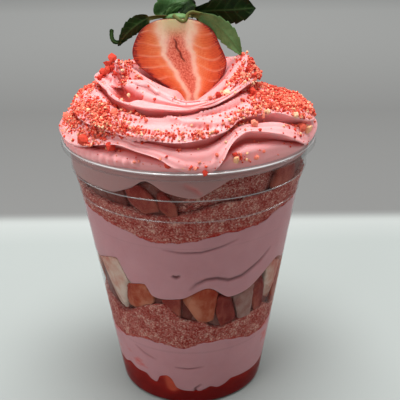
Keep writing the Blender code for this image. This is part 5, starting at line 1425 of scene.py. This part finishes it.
def fine_crumbs(points, levels):
    """Centres and sizes of the fine crumbs, scattered by the density over the swirl's surface."""
    draw = np.random.default_rng(FINE_SEED)
    azimuth = np.broadcast_to(columns(SWIRL_COLUMNS)[None, :], levels.shape)
    across = np.linalg.norm(np.roll(points, -1, axis=1) - points, axis=-1)
    up = np.linalg.norm(np.gradient(points, axis=0), axis=-1)
    facing = grid_normals(points)
    clump = np.clip(0.75 + 0.9 * soft_noise(points, 5.0, 71), 0.05, 2.0)
    rests = smooth_step(-0.35, 0.25, facing[..., 2])
    density = crumb_density(azimuth, levels)
    weight = density * across * up * clump * rests * (points[..., 2] > CUP_HEIGHT + 0.8)
    chosen = draw.choice(weight.size, FINE_CRUMBS, p=(weight / weight.sum()).ravel())
    sizes = FINE_SIZES[0] + (FINE_SIZES[1] - FINE_SIZES[0]) * draw.random(FINE_CRUMBS) ** 2.2
    heap = density.ravel()[chosen]
    lift = sizes * 0.35 + draw.random(FINE_CRUMBS) * 1.3 * np.clip(heap - 0.6, 0.0, 1.0)
    centres = points.reshape(-1, 3)[chosen] + facing.reshape(-1, 3)[chosen] * lift[:, None]
    centres += draw.normal(size=centres.shape) * 0.12
    return centres, sizes, draw


def fold_depth(points):
    """How deep each point lies in a fold of the swirl, from 0 to 1."""
    reach = 9
    first, last = np.repeat(points[:1], reach, axis=0), np.repeat(points[-1:], reach, axis=0)
    padded = np.concatenate([first, points, last])
    total = np.cumsum(np.concatenate([np.zeros((1,) + points.shape[1:]), padded]), axis=0)
    average = (total[2 * reach + 1:] - total[:-2 * reach - 1]) / (2 * reach + 1)
    sunk = ((average - points) * grid_normals(points)).sum(axis=-1)
    return np.clip(sunk / FOLD_FULL, 0.0, 1.0)


def make_swirl(cream):
    """The swirl of cream and everything scattered on it."""
    points, levels, phases = swirl_grid()
    points = detailed(points, levels, phases)
    azimuth = columns(SWIRL_COLUMNS)
    edge = top_cream_foot(azimuth, 1.0)
    rings = [around(azimuth, filling_radius(edge) * part, top_cream_foot(azimuth, part))
             for part in SWIRL_FRACTIONS]
    stains_and_fold_shades = [np.zeros(SWIRL_COLUMNS) for _ in rings]
    for step in np.linspace(0.0, 1.0, 14)[:-1]:
        height = edge + (COLLAR[1] - edge) * step
        ring = around(azimuth, filling_radius(height), height)
        dent, stain_and_fold_shade = groove_depth(ring, TOP_GROOVES)
        rings.append(around(azimuth, filling_radius(height) - dent, height))
        stains_and_fold_shades.append(stain_and_fold_shade)
    low = float(top_cream_foot(np.array([0.0]), 0.0)[0])
    # The cream at and below the lip is darkened as painted shade behind the plastic, and its folds and
    # grooves are reddened as painted fold shade.
    swirl = ring_solid("cream_swirl", rings + list(points), (0, 0, low), (0, 0, CRATER_FLOOR), cream,
                       {"stain_and_fold_shade": stains_and_fold_shades + list(fold_depth(points)),
                        "painted_shade_behind_plastic": [np.ones(SWIRL_COLUMNS)] * len(rings)
                        + list(smooth_step(CUP_HEIGHT + 0.4, CUP_HEIGHT - 1.6, points[..., 2]))})
    place_piece(swirl, "cream_with_crumbs", "cream_top")
    centres, sizes, draw = fine_crumbs(points, levels)
    big_centres, big_sizes = large_crumbs()
    chunk_centres = np.array([place + facing * size * 0.45 for (place, facing), size in
                              ((swirl_point(azimuth, level), size) for azimuth, level, size, _ in CHUNKS)])
    chunk_sizes = np.array([chunk[2] for chunk in CHUNKS])
    chunk_kinds = [KIND_NAMES.index(chunk[3]) for chunk in CHUNKS]
    centres = np.concatenate([chunk_centres, big_centres, centres])
    sizes = np.concatenate([chunk_sizes, big_sizes * 0.95, sizes])
    kinds = np.searchsorted(KIND_SHARES, draw.random(len(centres)))
    kinds[:len(CHUNKS)] = chunk_kinds
    for kind, (name, (dark, light)) in enumerate(zip(KIND_NAMES, KIND_COLOURS)):
        picked = kinds == kind
        look = crumb_material(f"crumb_{name}", dark, light)
        crumbs = joined_blobs(f"crumbs_{name}", centres[picked], sizes[picked], draw, look)
        place_piece(crumbs, "cream_with_crumbs")


# ---- set, light and camera -----------------------------------------------------------------------
def make_set():
    """One flat floor painted with light and shade: pale, darker towards the camera, and running back into a
    painted grey backdrop in shade.
    """
    mesh = bpy.data.meshes.new("studio_floor")
    half = FLOOR_SIZE / 2
    corners = [(-half, -half, 0), (half, -half, 0), (half, half, 0), (-half, half, 0)]
    mesh.from_pydata(corners, [], [(0, 1, 2, 3)])
    floor = bpy.data.objects.new("studio_floor", mesh)
    bpy.context.scene.collection.objects.link(floor)
    made, tree, shader = surface("studio_floor_painted_light", 0.55, Specular_IOR_Level=0.25)
    place = add(tree, "ShaderNodeTexCoord").outputs["Object"]
    back = add(tree, "ShaderNodeSeparateXYZ", {"Vector": place}).outputs["Y"]
    nearest, farthest = FLOOR_PAINTED_LIGHT_BANDS[0][0], FLOOR_PAINTED_LIGHT_BANDS[-1][0]
    paint = ramp(tree, number_ramp(tree, back, nearest, farthest),
                 [((place - nearest) / (farthest - nearest), colour) for place, colour in FLOOR_PAINTED_LIGHT_BANDS])
    tree.links.new(paint, shader.inputs["Base Color"])
    mesh.materials.append(made)


def make_lamp(name, place, target, size, power):
    """A white square soft light that faces a point."""
    data = bpy.data.lights.new(name, "AREA")
    data.shape = "SQUARE"
    data.size = size
    data.energy = power
    lamp = bpy.data.objects.new(name, data)
    lamp.location = place
    lamp.rotation_mode = "QUATERNION"
    lamp.rotation_quaternion = (Vector(target) - Vector(place)).to_track_quat("-Z", "Y")
    bpy.context.scene.collection.objects.link(lamp)


def make_light():
    """A broad soft light from above, weak ones in front and at the sides, and dim surroundings.

    The plastic doesn't mirror the surroundings.
    """
    scene = bpy.context.scene
    world = bpy.data.worlds.new("studio")
    world.use_nodes = True
    background = world.node_tree.nodes["Background"]
    background.inputs["Color"].default_value = SKY_COLOUR
    background.inputs["Strength"].default_value = SKY_STRENGTH
    world.cycles_visibility.glossy = False
    scene.world = world
    for name, place, aim_height, size, power in LAMPS:
        make_lamp(name, place, (0, 0, aim_height), size, power)
    scene.view_settings.view_transform = "Standard"


def make_camera():
    """The camera that saw the photo."""
    data = bpy.data.cameras.new("camera")
    data.sensor_width = SENSOR_WIDTH
    data.lens = FOCAL_PIXELS / IMAGE_WIDTH * SENSOR_WIDTH
    data.clip_start = 0.01
    camera = bpy.data.objects.new("camera", data)
    camera.matrix_world = (Matrix.Translation(Vector(CAMERA_PLACE) * MM)
                           @ Matrix.Rotation(math.radians(90 - CAMERA_PITCH), 4, "X")
                           @ Matrix.Rotation(-CAMERA_ROLL, 4, "Z"))
    bpy.context.scene.collection.objects.link(camera)
    bpy.context.scene.camera = camera


def main():
    """Makes every piece, the set and the light."""
    make_camera()
    make_light()
    make_set()
    make_cup()
    make_sauce()
    # The layers' cream is a darker copy of the piped cream: painted shade behind the plastic wall.
    make_layers(cream_material("cream_in_painted_shade", (0.51, 0.235, 0.255), (0.61, 0.305, 0.325), 0.03))
    make_diced_fruit()
    make_berry()
    make_seeds()
    make_leaves()
    make_swirl(cream_material("piped_cream", (0.885, 0.345, 0.348), (0.925, 0.42, 0.418), 0.3))


main()
